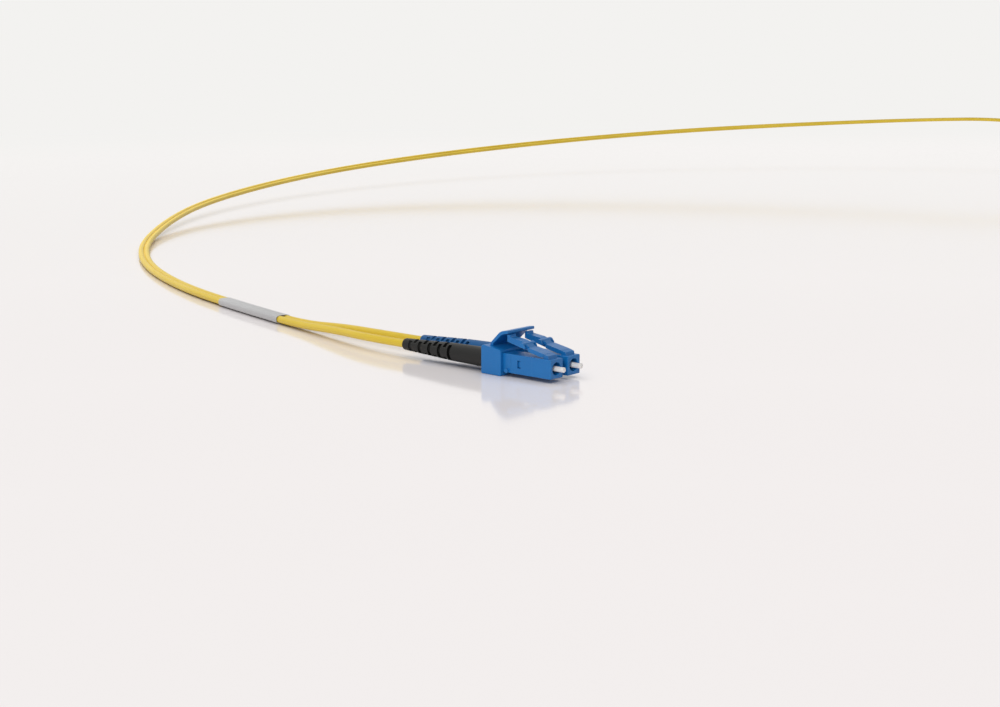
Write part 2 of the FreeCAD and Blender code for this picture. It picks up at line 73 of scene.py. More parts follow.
NOISE_RANGE: Point2 = (0.3, 0.7)


class End(Enum):
    """The patch cord's two ends."""

    NEAR = "near"
    FAR = "far"


class Side(Enum):
    """The two plugs of a connector, by the sign of their y."""

    A = -1
    B = 1

    @property
    def letter(self) -> str:
        """The letter that the CAD nodes' names end with."""
        return self.name.lower()


# ------------------------------------------------------------------------------------------- shader groups


class Nodes:
    """A small helper that adds and links the nodes of one tree."""

    def __init__(self, tree: bpy.types.NodeTree) -> None:
        """Starts on an empty tree.

        Args:
            tree: The material's or the group's node tree.
        """
        self.tree = tree
        tree.nodes.clear()

    def add(self, kind: str, **settings: object) -> bpy.types.Node:
        """Adds one node.

        Args:
            kind: The node's type, without its ShaderNode prefix.
            **settings: Its properties.

        Returns:
            The new node.
        """
        prefix = "" if kind.startswith("Node") else "ShaderNode"
        node = self.tree.nodes.new(prefix + kind)
        for name, value in settings.items():
            setattr(node, name, value)
        return node

    def link(self, source: bpy.types.NodeSocket, target: bpy.types.NodeSocket) -> None:
        """Links an output to an input."""
        self.tree.links.new(source, target)

    def noise(self, vector: bpy.types.NodeSocket, scale: float, detail: float) -> bpy.types.Node:
        """Adds a noise texture.

        Args:
            vector: The coordinates that it reads.
            scale: Its scale.
            detail: Its number of octaves.

        Returns:
            The noise node.
        """
        node = self.add("TexNoise")
        node.inputs["Scale"].default_value = scale
        node.inputs["Detail"].default_value = detail
        self.link(vector, node.inputs["Vector"])
        return node

    def spread(self, value: bpy.types.NodeSocket, old: Point2, new: Point2) -> bpy.types.NodeSocket:
        """Maps a value from one range to another.

        Args:
            value: The value.
            old: The range that it has.
            new: The range that it gets.

        Returns:
            The mapped value's socket.
        """
        node = self.add("MapRange")
        for name, number in zip(("From Min", "From Max", "To Min", "To Max"), (*old, *new)):
            node.inputs[name].default_value = number
        self.link(value, node.inputs["Value"])
        return node.outputs["Result"]

    def blend(
        self, share: bpy.types.NodeSocket, first: Sequence[float], second: Sequence[float],
    ) -> bpy.types.Node:
        """Mixes two colours by a share.

        Args:
            share: The second colour's share.
            first: The colour at 0.
            second: The colour at 1.

        Returns:
            The mix node.
        """
        node = self.add("Mix", data_type="RGBA")
        self.link(share, node.inputs[0])
        node.inputs[6].default_value = (*first, 1.0)
        node.inputs[7].default_value = (*second, 1.0)
        return node


def new_group(name: str, inputs: Iterable[tuple[str, float]], outputs: Iterable[str]) -> Nodes:
    """Makes a shader node group with float sockets.

    Args:
        name: The group's name.
        inputs: Each input's name and default.
        outputs: Each output's name.

    Returns:
        The group's nodes, with its input and output nodes in place.
    """
    tree = bpy.data.node_groups.new(name, "ShaderNodeTree")
    nodes = Nodes(tree)
    for label, value in inputs:
        socket = tree.interface.new_socket(label, in_out="INPUT", socket_type="NodeSocketFloat")
        socket.default_value = value
    for label in outputs:
        tree.interface.new_socket(label, in_out="OUTPUT", socket_type="NodeSocketFloat")
    nodes.add("NodeGroupInput", name="Into")
    nodes.add("NodeGroupOutput", name="Out")
    return nodes


def moulded_surface() -> bpy.types.NodeTree:
    """Builds the group for moulded plastic: a fine grain, a broad mottle and an edge mask, for edges painted
    lighter as wear and as a painted highlight.

    Returns:
        The group, with the outputs Grain, Mottle and Edge.
    """
    scales = [("Grain Scale", 5000.0), ("Mottle Scale", 220.0)]
    nodes = new_group("MouldedSurface", scales, ["Grain", "Mottle", "Edge"])
    into, out = nodes.tree.nodes["Into"], nodes.tree.nodes["Out"]
    where = nodes.add("TexCoord").outputs["Object"]
    for label, detail in (("Grain", 3.0), ("Mottle", 2.0)):
        noise = nodes.noise(where, 1.0, detail)
        nodes.link(into.outputs[f"{label} Scale"], noise.inputs["Scale"])
        nodes.link(noise.outputs["Fac"], out.inputs[label])
    # Edge: a mask along every edge, concave ones too, which the finishes paint lighter, partly as wear and
    # partly as a painted highlight.
    edge_reach, level, fully_worn_and_highlit = 0.00014, 0.99, 0.88
    turned = nodes.add("Bevel", samples=6)
    turned.inputs["Radius"].default_value = edge_reach
    flatness = nodes.add("VectorMath", operation="DOT_PRODUCT")
    nodes.link(turned.outputs["Normal"], flatness.inputs[0])
    nodes.link(nodes.add("NewGeometry").outputs["Normal"], flatness.inputs[1])
    edge = nodes.spread(flatness.outputs["Value"], (level, fully_worn_and_highlit), SHARE)
    nodes.link(edge, out.inputs["Edge"])
    return nodes.tree


def drawn_lines() -> bpy.types.NodeTree:
    """Builds the group for an extruded jacket: fine lines drawn along it and a slow drift of its tone.

    Returns:
        The group, with the outputs Lines and Drift.
    """
    scales = [("Line Scale", 9000.0), ("Drift Scale", 40.0)]
    nodes = new_group("DrawnLines", scales, ["Lines", "Drift"])
    into, out = nodes.tree.nodes["Into"], nodes.tree.nodes["Out"]
    lay = nodes.add("Attribute", attribute_name="lay").outputs["Vector"]
    drawn_out = 0.035
    stretch = nodes.add("Mapping")
    stretch.inputs["Scale"].default_value = (1.0, drawn_out, 1.0)
    nodes.link(lay, stretch.inputs["Vector"])
    lines = nodes.noise(stretch.outputs["Vector"], 1.0, 3.0)
    nodes.link(into.outputs["Line Scale"], lines.inputs["Scale"])
    nodes.link(lines.outputs["Fac"], out.inputs["Lines"])
    drift = nodes.noise(lay, 1.0, 2.0)
    nodes.link(into.outputs["Drift Scale"], drift.inputs["Scale"])
    nodes.link(drift.outputs["Fac"], out.inputs["Drift"])
    return nodes.tree


def woven_tape() -> bpy.types.NodeTree:
    """Builds the group for a woven strap: threads that cross at right angles.

    Returns:
        The group, with the outputs Weave and Fuzz.
    """
    scales = [("Thread Scale", 900.0), ("Fuzz Scale", 9000.0)]
    nodes = new_group("WovenTape", scales, ["Weave", "Fuzz"])
    into, out = nodes.tree.nodes["Into"], nodes.tree.nodes["Out"]
    lay = nodes.add("Attribute", attribute_name="lay").outputs["Vector"]
    waves = []
    for direction in ("X", "Y"):
        wave = nodes.add("TexWave", bands_direction=direction)
        nodes.link(lay, wave.inputs["Vector"])
        nodes.link(into.outputs["Thread Scale"], wave.inputs["Scale"])
        waves.append(wave.outputs["Fac"])
    crossing = nodes.add("Math", operation="MULTIPLY")
    for wave, socket in zip(waves, crossing.inputs):
        nodes.link(wave, socket)
    nodes.link(crossing.outputs["Value"], out.inputs["Weave"])
    fuzz = nodes.noise(lay, 1.0, 4.0)
    nodes.link(into.outputs["Fuzz Scale"], fuzz.inputs["Scale"])
    nodes.link(fuzz.outputs["Fac"], out.inputs["Fuzz"])
    return nodes.tree


# ------------------------------------------------------------------------------------------- finishes


@dataclass(frozen=True)
class Finish:
    """What every finish has: a name, the record's slot, and the shader's plain settings."""

    name: str
    slot: str
    colour: tuple[float, float, float]
    second: tuple[float, float, float]
    rough: Point2 = (0.35, 0.5)
    bump: float = 0.1
    metallic: float = 0.0
    specular: float = 0.5
    coat: float = 0.0
    coat_roughness: float = 0.15
    glow: float = 0.0
    glow_reach: Corner = (0.0008, 0.0006, 0.0005)

    def shader(self, nodes: Nodes) -> bpy.types.Node:
        """Adds the Principled shader and the output, with the constants on the shader's own sockets.

        Args:
            nodes: The material's nodes.

        Returns:
            The Principled node.
        """
        shader = nodes.add("BsdfPrincipled")
        shader.inputs["Metallic"].default_value = self.metallic
        shader.inputs["Specular IOR Level"].default_value = self.specular
        shader.inputs["Coat Weight"].default_value = self.coat
        shader.inputs["Coat Roughness"].default_value = self.coat_roughness
        shader.inputs["Subsurface Weight"].default_value = self.glow
        shader.inputs["Subsurface Radius"].default_value = self.glow_reach
        shader.inputs["Subsurface Scale"].default_value = 1.0
        nodes.link(shader.outputs["BSDF"], nodes.add("OutputMaterial").inputs["Surface"])
        return shader

    def relief(
        self, nodes: Nodes, height: bpy.types.NodeSocket, shader: bpy.types.Node, deep: float,
    ) -> None:
        """Feeds a height to the shader's normal.

        Args:
            nodes: The material's nodes.
            height: The height's socket.
            shader: The Principled node.
            deep: The height's depth in metres.
        """
        bump = nodes.add("Bump")
        bump.inputs["Strength"].default_value = self.bump
        bump.inputs["Distance"].default_value = deep
        nodes.link(height, bump.inputs["Height"])
        nodes.link(bump.outputs["Normal"], shader.inputs["Normal"])

    def build(self) -> bpy.types.Material:
        """Makes the material, or returns it if it was made before.

        Returns:
            The material.
        """
        if self.name in bpy.data.materials:
            return bpy.data.materials[self.name]
        material = bpy.data.materials.new(self.name)
        material.use_nodes = True
        nodes = Nodes(material.node_tree)
        self.dress(nodes, self.shader(nodes))
        return material

    def dress(self, nodes: Nodes, shader: bpy.types.Node) -> None:
        """Adds what varies over the surface. Each finish has its own."""
        raise NotImplementedError

    def group(self, nodes: Nodes, make: Callable[[], bpy.types.NodeTree], name: str) -> bpy.types.Node:
        """Adds a shared node group, made at its first use.

        Args:
            nodes: The material's nodes.
            make: The function that builds the group.
            name: The group's name.

        Returns:
            The group node.
        """
        node = nodes.add("Group")
        node.node_tree = bpy.data.node_groups.get(name) or make()
        return node


@dataclass(frozen=True)
class Moulded(Finish):
    """Moulded plastic, rubber or ceramic: a fine grain, a broad mottle and edges painted a little lighter,
    partly as wear and partly as a painted highlight.
    """

    grain: float = 5000.0
    mottle: float = 220.0
    grain_depth: float = 0.00002
    worn: tuple[float, float, float] = (0.5, 0.5, 0.5)
    wear: float = 0.15

    def dress(self, nodes: Nodes, shader: bpy.types.Node) -> None:
        """Adds the grain, the mottle and the edges' wear and painted highlight.

        Args:
            nodes: The material's nodes.
            shader: The Principled node.
        """
        surface = self.group(nodes, moulded_surface, "MouldedSurface")
        surface.inputs["Grain Scale"].default_value = self.grain
        surface.inputs["Mottle Scale"].default_value = self.mottle
        tone = nodes.spread(surface.outputs["Mottle"], NOISE_RANGE, SHARE)
        body = nodes.blend(tone, self.colour, self.second)
        # The edges get a lighter colour: partly wear, partly a painted highlight.
        worn = nodes.add("Mix", data_type="RGBA")
        edge = nodes.spread(surface.outputs["Edge"], SHARE, (0.0, self.wear))
        nodes.link(edge, worn.inputs[0])
        nodes.link(body.outputs[2], worn.inputs[6])
        worn.inputs[7].default_value = (*self.worn, 1.0)
        nodes.link(worn.outputs[2], shader.inputs["Base Color"])
        roughness = nodes.spread(surface.outputs["Mottle"], NOISE_RANGE, self.rough)
        nodes.link(roughness, shader.inputs["Roughness"])
        self.relief(nodes, surface.outputs["Grain"], shader, self.grain_depth)


@dataclass(frozen=True)
class Jacket(Finish):
    """An extruded cable jacket or shrink sleeve, with fine lines drawn along it."""

    lines: float = 9000.0
    drift: float = 40.0
    line_depth: float = 0.00004

    def dress(self, nodes: Nodes, shader: bpy.types.Node) -> None:
        """Adds the drawn lines and the slow drift of the tone.

        Args:
            nodes: The material's nodes.
            shader: The Principled node.
        """
        drawn = self.group(nodes, drawn_lines, "DrawnLines")
        drawn.inputs["Line Scale"].default_value = self.lines
        drawn.inputs["Drift Scale"].default_value = self.drift
        tone = nodes.spread(drawn.outputs["Drift"], NOISE_RANGE, SHARE)
        nodes.link(nodes.blend(tone, self.colour, self.second).outputs[2], shader.inputs["Base Color"])
        roughness = nodes.spread(drawn.outputs["Lines"], NOISE_RANGE, self.rough)
        nodes.link(roughness, shader.inputs["Roughness"])
        self.relief(nodes, drawn.outputs["Lines"], shader, self.line_depth)


@dataclass(frozen=True)
class Woven(Finish):
    """The woven strap's crossing threads."""

    threads: float = 900.0
    thread_depth: float = 0.0002

    def dress(self, nodes: Nodes, shader: bpy.types.Node) -> None:
        """Adds the threads and their fuzz.

        Args:
            nodes: The material's nodes.
            shader: The Principled node.
        """
        tape = self.group(nodes, woven_tape, "WovenTape")
        tape.inputs["Thread Scale"].default_value = self.threads
        body = nodes.blend(tape.outputs["Weave"], self.colour, self.second)
        nodes.link(body.outputs[2], shader.inputs["Base Color"])
        roughness = nodes.spread(tape.outputs["Fuzz"], NOISE_RANGE, self.rough)
        nodes.link(roughness, shader.inputs["Roughness"])
        self.relief(nodes, tape.outputs["Weave"], shader, self.thread_depth)


@dataclass(frozen=True)
class Metal(Finish):
    """Plated or bare metal with a fine brushed haze."""

    brush: float = 7000.0
    mottle: float = 900.0
    brush_depth: float = 0.00002

    def dress(self, nodes: Nodes, shader: bpy.types.Node) -> None:
        """Adds the brushed haze.

        Args:
            nodes: The material's nodes.
            shader: The Principled node.
        """
        surface = self.group(nodes, moulded_surface, "MouldedSurface")
        surface.inputs["Grain Scale"].default_value = self.brush
        surface.inputs["Mottle Scale"].default_value = self.mottle
        body = nodes.blend(surface.outputs["Mottle"], self.colour, self.second)
        nodes.link(body.outputs[2], shader.inputs["Base Color"])
        roughness = nodes.spread(surface.outputs["Grain"], NOISE_RANGE, self.rough)
        nodes.link(roughness, shader.inputs["Roughness"])
        self.relief(nodes, surface.outputs["Grain"], shader, self.brush_depth)


# Each finish's worn colour lightens its edges: partly wear, partly a painted highlight.
BLUE_PLASTIC = Moulded(
    "BluePlastic", "blue_plastic", (0.005, 0.148, 0.440), (0.008, 0.162, 0.465), rough=(0.30, 0.40),
    bump=0.12, specular=0.4, worn=(0.10, 0.33, 0.62), wear=0.35,
)
BLUE_RUBBER = Moulded(
    "BlueBootRubber", "blue_boot", (0.006, 0.085, 0.250), (0.008, 0.097, 0.272), rough=(0.4, 0.52), bump=0.25,
    specular=0.3, worn=(0.16, 0.38, 0.62), wear=0.35,
)
BLACK_RUBBER = Moulded(
    "BlackBootRubber", "black_boot", (0.008, 0.008, 0.008), (0.013, 0.013, 0.012), rough=(0.38, 0.5),
    bump=0.3, specular=0.3, worn=(0.12, 0.12, 0.115), wear=0.5,
)
CERAMIC = Moulded(
    "FerruleCeramic", "white_ceramic", (0.80, 0.79, 0.78), (0.86, 0.85, 0.84), rough=(0.12, 0.2), bump=0.03,
    coat=0.3, glow=0.15, worn=(0.9, 0.9, 0.9), wear=0.2,
)
FIBRE_BUFFER = Moulded(
    "FibreBuffer", "fibre_buffer", (0.78, 0.74, 0.60), (0.83, 0.79, 0.66), rough=(0.35, 0.45),
    worn=(0.9, 0.88, 0.8),
)
NICKEL = Metal(
    "NickelHolder", "nickel_metal", (0.62, 0.60, 0.56), (0.70, 0.68, 0.64), rough=(0.22, 0.35), metallic=1.0,
)
SPRING_STEEL = Metal(
    "SpringSteel", "spring_steel", (0.48, 0.49, 0.51), (0.58, 0.59, 0.6), rough=(0.2, 0.32), metallic=1.0,
)
CRIMP = Metal(
    "CrimpMetal", "crimp_metal", (0.62, 0.61, 0.58), (0.70, 0.69, 0.66), rough=(0.28, 0.42), metallic=1.0,
)
YELLOW_JACKET = Jacket(
    "YellowJacket", "yellow_jacket", (0.70, 0.50, 0.030), (0.76, 0.55, 0.045), rough=(0.34, 0.48), bump=0.35,
    glow=0.05,
)
GREY_SLEEVE = Jacket(
    "GreyShrinkSleeve", "grey_sleeve", (0.46, 0.46, 0.465), (0.52, 0.52, 0.525), rough=(0.42, 0.55), bump=0.4,
)
STRAP = Woven(
    "StrapWeave", "black_strap", (0.012, 0.012, 0.013), (0.05, 0.05, 0.052), rough=(0.7, 0.95), bump=0.8,
)


# ------------------------------------------------------------------------------------------- solids


def rounded(corners: Sequence[Corner], steps: int = 5) -> list[Point2]:
    """Turns an outline's corners into arcs.

    Args:
        corners: Each corner's two coordinates and the radius of its arc, 0 for a sharp corner.
        steps: The number of points on an arc, less one.

    Returns:
        The outline's points.
    """
    points: list[Point2] = []
    for i, (x, z, radius) in enumerate(corners):
        here = Vector((x, z))
        back = Vector(corners[i - 1][:2]) - here
        on = Vector(corners[(i + 1) % len(corners)][:2]) - here
        if radius <= 0:
            points.append((x, z))
            continue
        half = back.angle(on) / 2
        reach = min(radius / math.tan(half), 0.49 * back.length, 0.49 * on.length)
        size = reach * math.tan(half)
        centre = here + (back.normalized() + on.normalized()).normalized() * (size / math.sin(half))
        first, last = here + back.normalized() * reach - centre, here + on.normalized() * reach - centre
        sweep = first.angle_signed(last)
        for k in range(steps + 1):
            arm = first.copy()
            arm.rotate(Matrix.Rotation(-sweep * k / steps, 2))
            points.append(tuple(centre + arm))
    return points


class Solid:
    """A closed mesh under construction, in millimetres and in its own frame."""

    weld = 0.002
    eased_from = math.radians(28)
    sharp_from = math.radians(50)

    def __init__(self, points: Sequence[Sequence[float]], faces: Sequence[Sequence[int]]) -> None:
        """Makes the mesh.

        Args:
            points: The corners.
            faces: Each face's corners, by number.
        """
        mesh = bpy.data.meshes.new("solid")
        mesh.from_pydata([tuple(p) for p in points], [], [tuple(f) for f in faces])
        self.thing = bpy.data.objects.new("solid", mesh)
        bpy.context.scene.collection.objects.link(self.thing)
        self.edit(lambda form: bmesh.ops.recalc_face_normals(form, faces=form.faces))

    @classmethod
    def plate(cls, side: Sequence[Point2], across: Point2) -> "Solid":
        """A plate whose side is an outline in x and z.

        Args:
            side: The outline's points.
            across: The lowest and highest y.

        Returns:
            The solid.
        """
        count = len(side)
        points = [(x, y, z) for y in across for x, z in side]
        faces = [tuple(range(count)), tuple(range(count, 2 * count))]
        faces += [(i, (i + 1) % count, (i + 1) % count + count, i + count) for i in range(count)]
        return cls(points, faces)

    @classmethod
    def block(cls, along: Point2, across: Point2, up: Point2) -> "Solid":
        """A box between its lowest and highest x, y and z."""
        side = [(along[0], up[0]), (along[1], up[0]), (along[1], up[1]), (along[0], up[1])]
        return cls.plate(side, across)

    @classmethod
    def turned(cls, profile: Sequence[Point2], steps: int = 64) -> "Solid":
        """A solid turned about the X axis.

        Args:
            profile: The outline's points as x and radius. One that starts and ends on the axis is solid.
            steps: The number of facets.

        Returns:
            The solid.
        """
        points: list[Sequence[float]] = []
        rings: list[list[int]] = []
        for x, radius in profile:
            count = 1 if radius == 0 else steps
            rings.append([len(points) + k for k in range(count)])
            for k in range(count):
                angle = 2 * math.pi * k / steps
                points.append((x, radius * math.cos(angle), radius * math.sin(angle)))
        faces = []
        closed = profile[0][1] > 0
        for low, high in zip(rings, rings[1:] + ([rings[0]] if closed else [])):
            for k in range(steps):
                m = k + 1
                corners = [low[k % len(low)], low[m % len(low)], high[m % len(high)], high[k % len(high)]]
                face = tuple(dict.fromkeys(corners))
                if len(face) > 2:
                    faces.append(face)
        return cls(points, faces)

    @classmethod
    def rod(cls, along: Point2, diameter: float, steps: int = 64) -> "Solid":
        """A plain rod on the X axis, used as a tool or as a stock to shape."""
        radius = diameter / 2
        return cls.turned([(along[0], 0), (along[0], radius), (along[1], radius), (along[1], 0)], steps)

    def edit(self, change: Callable[[bmesh.types.BMesh], object]) -> "Solid":
        """Applies a change to the mesh through bmesh.

        Args:
            change: The function that changes it.

        Returns:
            This solid.
        """
        form = bmesh.new()
        form.from_mesh(self.thing.data)
        change(form)
        form.to_mesh(self.thing.data)
        form.free()
        return self

    def moved(self, matrix: Matrix) -> "Solid":
        """Moves the mesh by a matrix, and returns this solid."""
        self.thing.data.transform(matrix)
        return self

    def with_modifier(self, kind: str, **settings: object) -> "Solid":
        """Applies one modifier.

        Args:
            kind: The modifier's type.
            **settings: Its properties.

        Returns:
            This solid.
        """
        modifier = self.thing.modifiers.new("shape", kind)
        for name, value in settings.items():
            setattr(modifier, name, value)
        bpy.context.view_layer.update()
        old = self.thing.data
        shaped = self.thing.evaluated_get(bpy.context.evaluated_depsgraph_get())
        self.thing.data = bpy.data.meshes.new_from_object(shaped)
        self.thing.modifiers.clear()
        bpy.data.meshes.remove(old)
        return self

    def combined(self, how: str, others: Iterable["Solid"]) -> "Solid":
        """Adds other solids to this one or cuts them from it.

        Args:
            how: The boolean's operation.
            others: The other solids, which are used up.

        Returns:
            This solid.
        """
        for other in others:
            self.with_modifier("BOOLEAN", operation=how, solver="EXACT", object=other.thing)
            other.discard()
        return self

    def cut(self, *tools: "Solid") -> "Solid":
        """Cuts tools away, and returns this solid."""
        return self.combined("DIFFERENCE", tools)

    def joined(self, *others: "Solid") -> "Solid":
        """Fuses others on, and returns this solid."""
        return self.combined("UNION", others)

    def eased(self, width: float, steps: int = 2) -> "Solid":
        """Rounds every sharp edge.

        Args:
            width: The rounding's width.
            steps: Its number of segments.

        Returns:
            This solid.
        """
        self.edit(lambda form: bmesh.ops.remove_doubles(form, verts=form.verts, dist=self.weld))
        return self.with_modifier(
            "BEVEL", width=width, segments=steps, limit_method="ANGLE", angle_limit=self.eased_from,
            miter_outer="MITER_ARC",
        )

    def sliced(self, places: Iterable[float]) -> "Solid":
        """Adds edges across the solid, so that it can bend there.

        Args:
            places: The x of each slice.

        Returns:
            This solid.
        """
        for x in places:
            self.edit(
                lambda form, x=x: bmesh.ops.bisect_plane(
                    form, geom=[*form.verts, *form.edges, *form.faces],
                    plane_co=(x, 0, 0), plane_no=(1, 0, 0),
                )
            )
        return self

    def smooth(self) -> "Solid":
        """Shades the solid smooth, with flat faces kept flat.

        Returns:
            This solid.
        """
        self.thing.data.polygons.foreach_set("use_smooth", [True] * len(self.thing.data.polygons))
        self.thing.data.set_sharp_from_angle(angle=self.sharp_from)
        return self.with_modifier("WEIGHTED_NORMAL", keep_sharp=True, weight=100)

    def discard(self) -> None:
        """Removes the solid."""
        mesh = self.thing.data
        bpy.data.objects.remove(self.thing)
        bpy.data.meshes.remove(mesh)

    def blank(self) -> bpy.types.Mesh:
        """Shades the solid and hands over its mesh, which can be placed many times.

        Returns:
            The finished mesh, in millimetres.
        """
        self.smooth()
        mesh = self.thing.data
        bpy.data.objects.remove(self.thing)
        return mesh


def placed(name: str, blank: bpy.types.Mesh, place: Matrix, finish: Finish) -> bpy.types.Object:
    """Puts a copy of a blank where it belongs.

    Args:
        name: The piece's name.
        blank: The mesh in millimetres.
        place: The place of its own frame, in metres.
        finish: The piece's finish.

    Returns:
        The piece, in the CAD model's frame.
    """
    mesh = blank.copy()
    mesh.transform(place @ Matrix.Scale(MM, 4))
    mesh.materials.clear()
    mesh.materials.append(finish.build())
    piece = bpy.data.objects.new(name, mesh)
    bpy.context.scene.collection.objects.link(piece)
    LOG.info("%s: %d faces", name, len(mesh.polygons))
    return piece


# ------------------------------------------------------------------------------------------- places


def joint(name: str) -> dict:
    """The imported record's joint of that name."""
    return next(j for j in frame["joints"] if j["name"] == name)


@dataclass(frozen=True)
class Plug:
    """The sizes of one plug, and the shapes of the pieces that it is made of."""

    pitch: float = 6.25
    axis_height: float = 3.15
    reach: float = 17.15
    spring_front: float = 7.62
    spring_seat: float = 12.6
    width: float = 4.5
    length: float = 16.95
    bore: float = 2.95
    bore_depth: float = 5.0
    neck: float = 2.4
    neck_length: float = 0.9
    cavity: float = 3.7
    window: Point2 = (-9.9, -8.9)
    window_up: Point2 = (-0.85, 1.0)
    boss: Point2 = (-12.9, -1.75)
    boss_size: float = 1.0
    boss_stand: float = 0.5
    lug: Point2 = (-2.6, -1.3)
    lug_top: float = 3.35
    latch_width: float = 3.2
    spine_width: float = 2.2
    ear_width: float = 4.4
    step: float = -5.6
    step_depth: float = 0.06
    flex_start: Corner = (-2.65, 0.0, 3.0)
    flex_end: Corner = (-4.2, 0.0, 3.2)

    def housing(self) -> bpy.types.Mesh:
        """Shapes the square front housing.

        Returns:
            Its blank.
        """
        half = self.width / 2
        shell = Solid.block((-self.length, 0), (-half, half), (-half, half)).eased(0.22, 3)
        shell.joined(
            Solid.plate(
                rounded([
                    (self.lug[0], half - 0.3, 0), (self.lug[1] + 0.25, half - 0.3, 0),
                    (self.lug[1], self.lug_top - 0.4, 0.3), (self.lug[0], self.lug_top, 0.25),
                ]),
                (-self.latch_width / 2, self.latch_width / 2),
            )
        )
        reach = half + self.boss_stand
        bosses = Solid.rod((-reach, reach), self.boss_size, 32)
        across = Matrix.Rotation(math.pi / 2, 4, "Z")
        bosses.moved(Matrix.Translation((self.boss[0], 0, self.boss[1])) @ across)
        shell.joined(bosses)
        for sign in (-1, 1):
            side = sorted((sign * (half - self.step_depth), sign * (half + 0.3)))
            panel_rear = self.boss[0] + 1.0
            shell.cut(Solid.block((panel_rear, self.step), tuple(side), (-half - 1, half + 1)))
        neck_end = self.bore_depth + self.neck_length
        shell.cut(
            Solid.turned([
                (-self.length - 1, 0), (-self.length - 1, self.cavity / 2), (-neck_end, self.cavity / 2),
                (-neck_end, self.neck / 2), (-self.bore_depth, self.neck / 2),
                (-self.bore_depth, self.bore / 2), (-0.12, self.bore / 2), (0.06, self.bore / 2 + 0.18),
                (0.06, 0),
            ])
        )
        shell.cut(Solid.block(self.window, (-self.width, self.width), self.window_up))
        return shell.eased(0.05).blank()

    def latch(self) -> bpy.types.Mesh:
        """Shapes the sprung arm: a wide root, a slim spine with the thumb tab, and two pocketed ears.

        Returns:
            Its blank.
        """
        parts = []
        for width, side in (
            (self.spine_width, [
                (-6.2, 3.05, 0), (-13.85, 4.79, 0.2), (-13.85, 6.42, 0.18), (-13.1, 6.42, 0.12),
                (-13.1, 5.88, 0.2), (-9.6, 5.45, 1.0), (-8.5, 5.1, 0.5), (-7.1, 4.17, 0.5), (-6.2, 3.98, 0),
            ]),
            (self.latch_width, [
                (-2.5, 2.5, 0), (-3.5, 2.45, 0.6), (-7.1, 3.26, 0.1), (-7.1, 4.2, 0.15), (-3.4, 3.5, 1.0),
                (-2.9, 3.38, 0.4), (-2.5, 3.3, 0),
            ]),
            (self.ear_width, [
                (-8.95, 4.15, 0.08), (-7.65, 3.9, 0.08), (-7.65, 4.3, 0.12), (-8.3, 5.1, 0.2),
                (-8.95, 5.25, 0.1),
            ]),
        ):
            parts.append(Solid.plate(rounded(side), (-width / 2, width / 2)))
        arm, *others = parts
        arm.joined(*others)
        for sign in (-1, 1):
            pocket = sorted((sign * (self.spine_width / 2 + 0.1), sign * (self.ear_width / 2 - 0.22)))
            arm.cut(Solid.block((-8.1, -7.4), tuple(pocket), (4.15, 6.0)))
        return arm.eased(0.07, 2).sliced([-2.7 - 0.15 * k for k in range(14)]).blank()

    def ferrule(self) -> bpy.types.Mesh:
        """Shapes the polished ferrule with its domed, chamfered tip.

        Returns:
            Its blank.
        """
        tip, radius, rear, rear_radius, flat, steps = 2.26, 0.625, -7.34, 0.45, 0.47, 4
        dome = [(tip - 0.02 * (k / steps) ** 2, flat * k / steps) for k in range(steps + 1)]
        body = [(rear, 0), (rear, rear_radius), (-6.1, radius), (tip - 0.15, radius)]
        return Solid.turned([*body, *reversed(dome)], 48).eased(0.02).blank()

    def spring(self) -> bpy.types.Mesh:
        """Winds the compression spring.

        Returns:
            Its blank.
        """
        wire, radius, turns, facets, steps, clear = 0.35, 1.225, 6.0, 10, 36, 0.02
        front, rear = -self.spring_front - clear - wire / 2, -self.spring_seat + clear + wire / 2
        count = int(turns * steps)
        points, faces = [], []
        for i in range(count + 1):
            angle = 2 * math.pi * turns * i / count
            middle = front + (rear - front) * i / count
            for k in range(facets):
                around = 2 * math.pi * k / facets
                out = radius + wire / 2 * math.cos(around)
                x = middle + wire / 2 * math.sin(around)
                points.append((x, out * math.cos(angle), out * math.sin(angle)))
        for i in range(count):
            for k in range(facets):
                m = (k + 1) % facets
                faces.append((i * facets + k, i * facets + m, (i + 1) * facets + m, (i + 1) * facets + k))
        faces += [tuple(range(facets)), tuple(range(count * facets, (count + 1) * facets))]
        return Solid(points, faces).blank()


@dataclass(frozen=True)
class Boot:
    """The sizes of one strain relief boot, in the plug's frame."""

    start: float = 20.25
    end: float = 48.2
    size: float = 4.8
    waist: float = 32.5
    waist_draw: float = 0.25
    tail: float = 2.9
    bore: float = 3.5
    bore_end: float = 28.7
    cable_bore: float = 2.06
    slot_start: float = 31.7
    slot_pitch: float = 3.38
    slot_length: float = 1.1
    slot_half: float = 1.85
    slot_narrowing: float = 0.07
    slot_floor: float = 2.45
    slots: int = 9

    def shape(self) -> bpy.types.Mesh:
        """Shapes the tapered boot with grooves cut in turn at its sides and at its top and bottom.

        Returns:
            Its blank.
        """
        profile = rounded([
            (-self.start, self.bore / 2, 0.05), (-self.start, self.size / 2, 0.2),
            (-self.waist, self.size / 2 - self.waist_draw, 6.0), (-self.end + 0.3, self.tail / 2, 0.5),
            (-self.end, self.tail / 2 - 0.32, 0.15), (-self.end, self.cable_bore / 2, 0.05),
            (-self.bore_end, self.cable_bore / 2, 0), (-self.bore_end, self.bore / 2, 0),
        ])
        shell = Solid.turned(profile, 72)
        for i in range(self.slots):
            middle = -self.slot_start - i * self.slot_pitch / 2
            along = (middle - self.slot_length / 2, middle + self.slot_length / 2)
            half = self.slot_half - i * self.slot_narrowing
            ways = ((-self.size, self.size), (-half, half))
            groove = Solid.block(along, *(ways if i % 2 == 0 else reversed(ways)))
            shell.cut(groove.cut(Solid.rod((along[0] - 1, along[1] + 1), self.slot_floor)))
        return shell.eased(0.07, 2).blank()


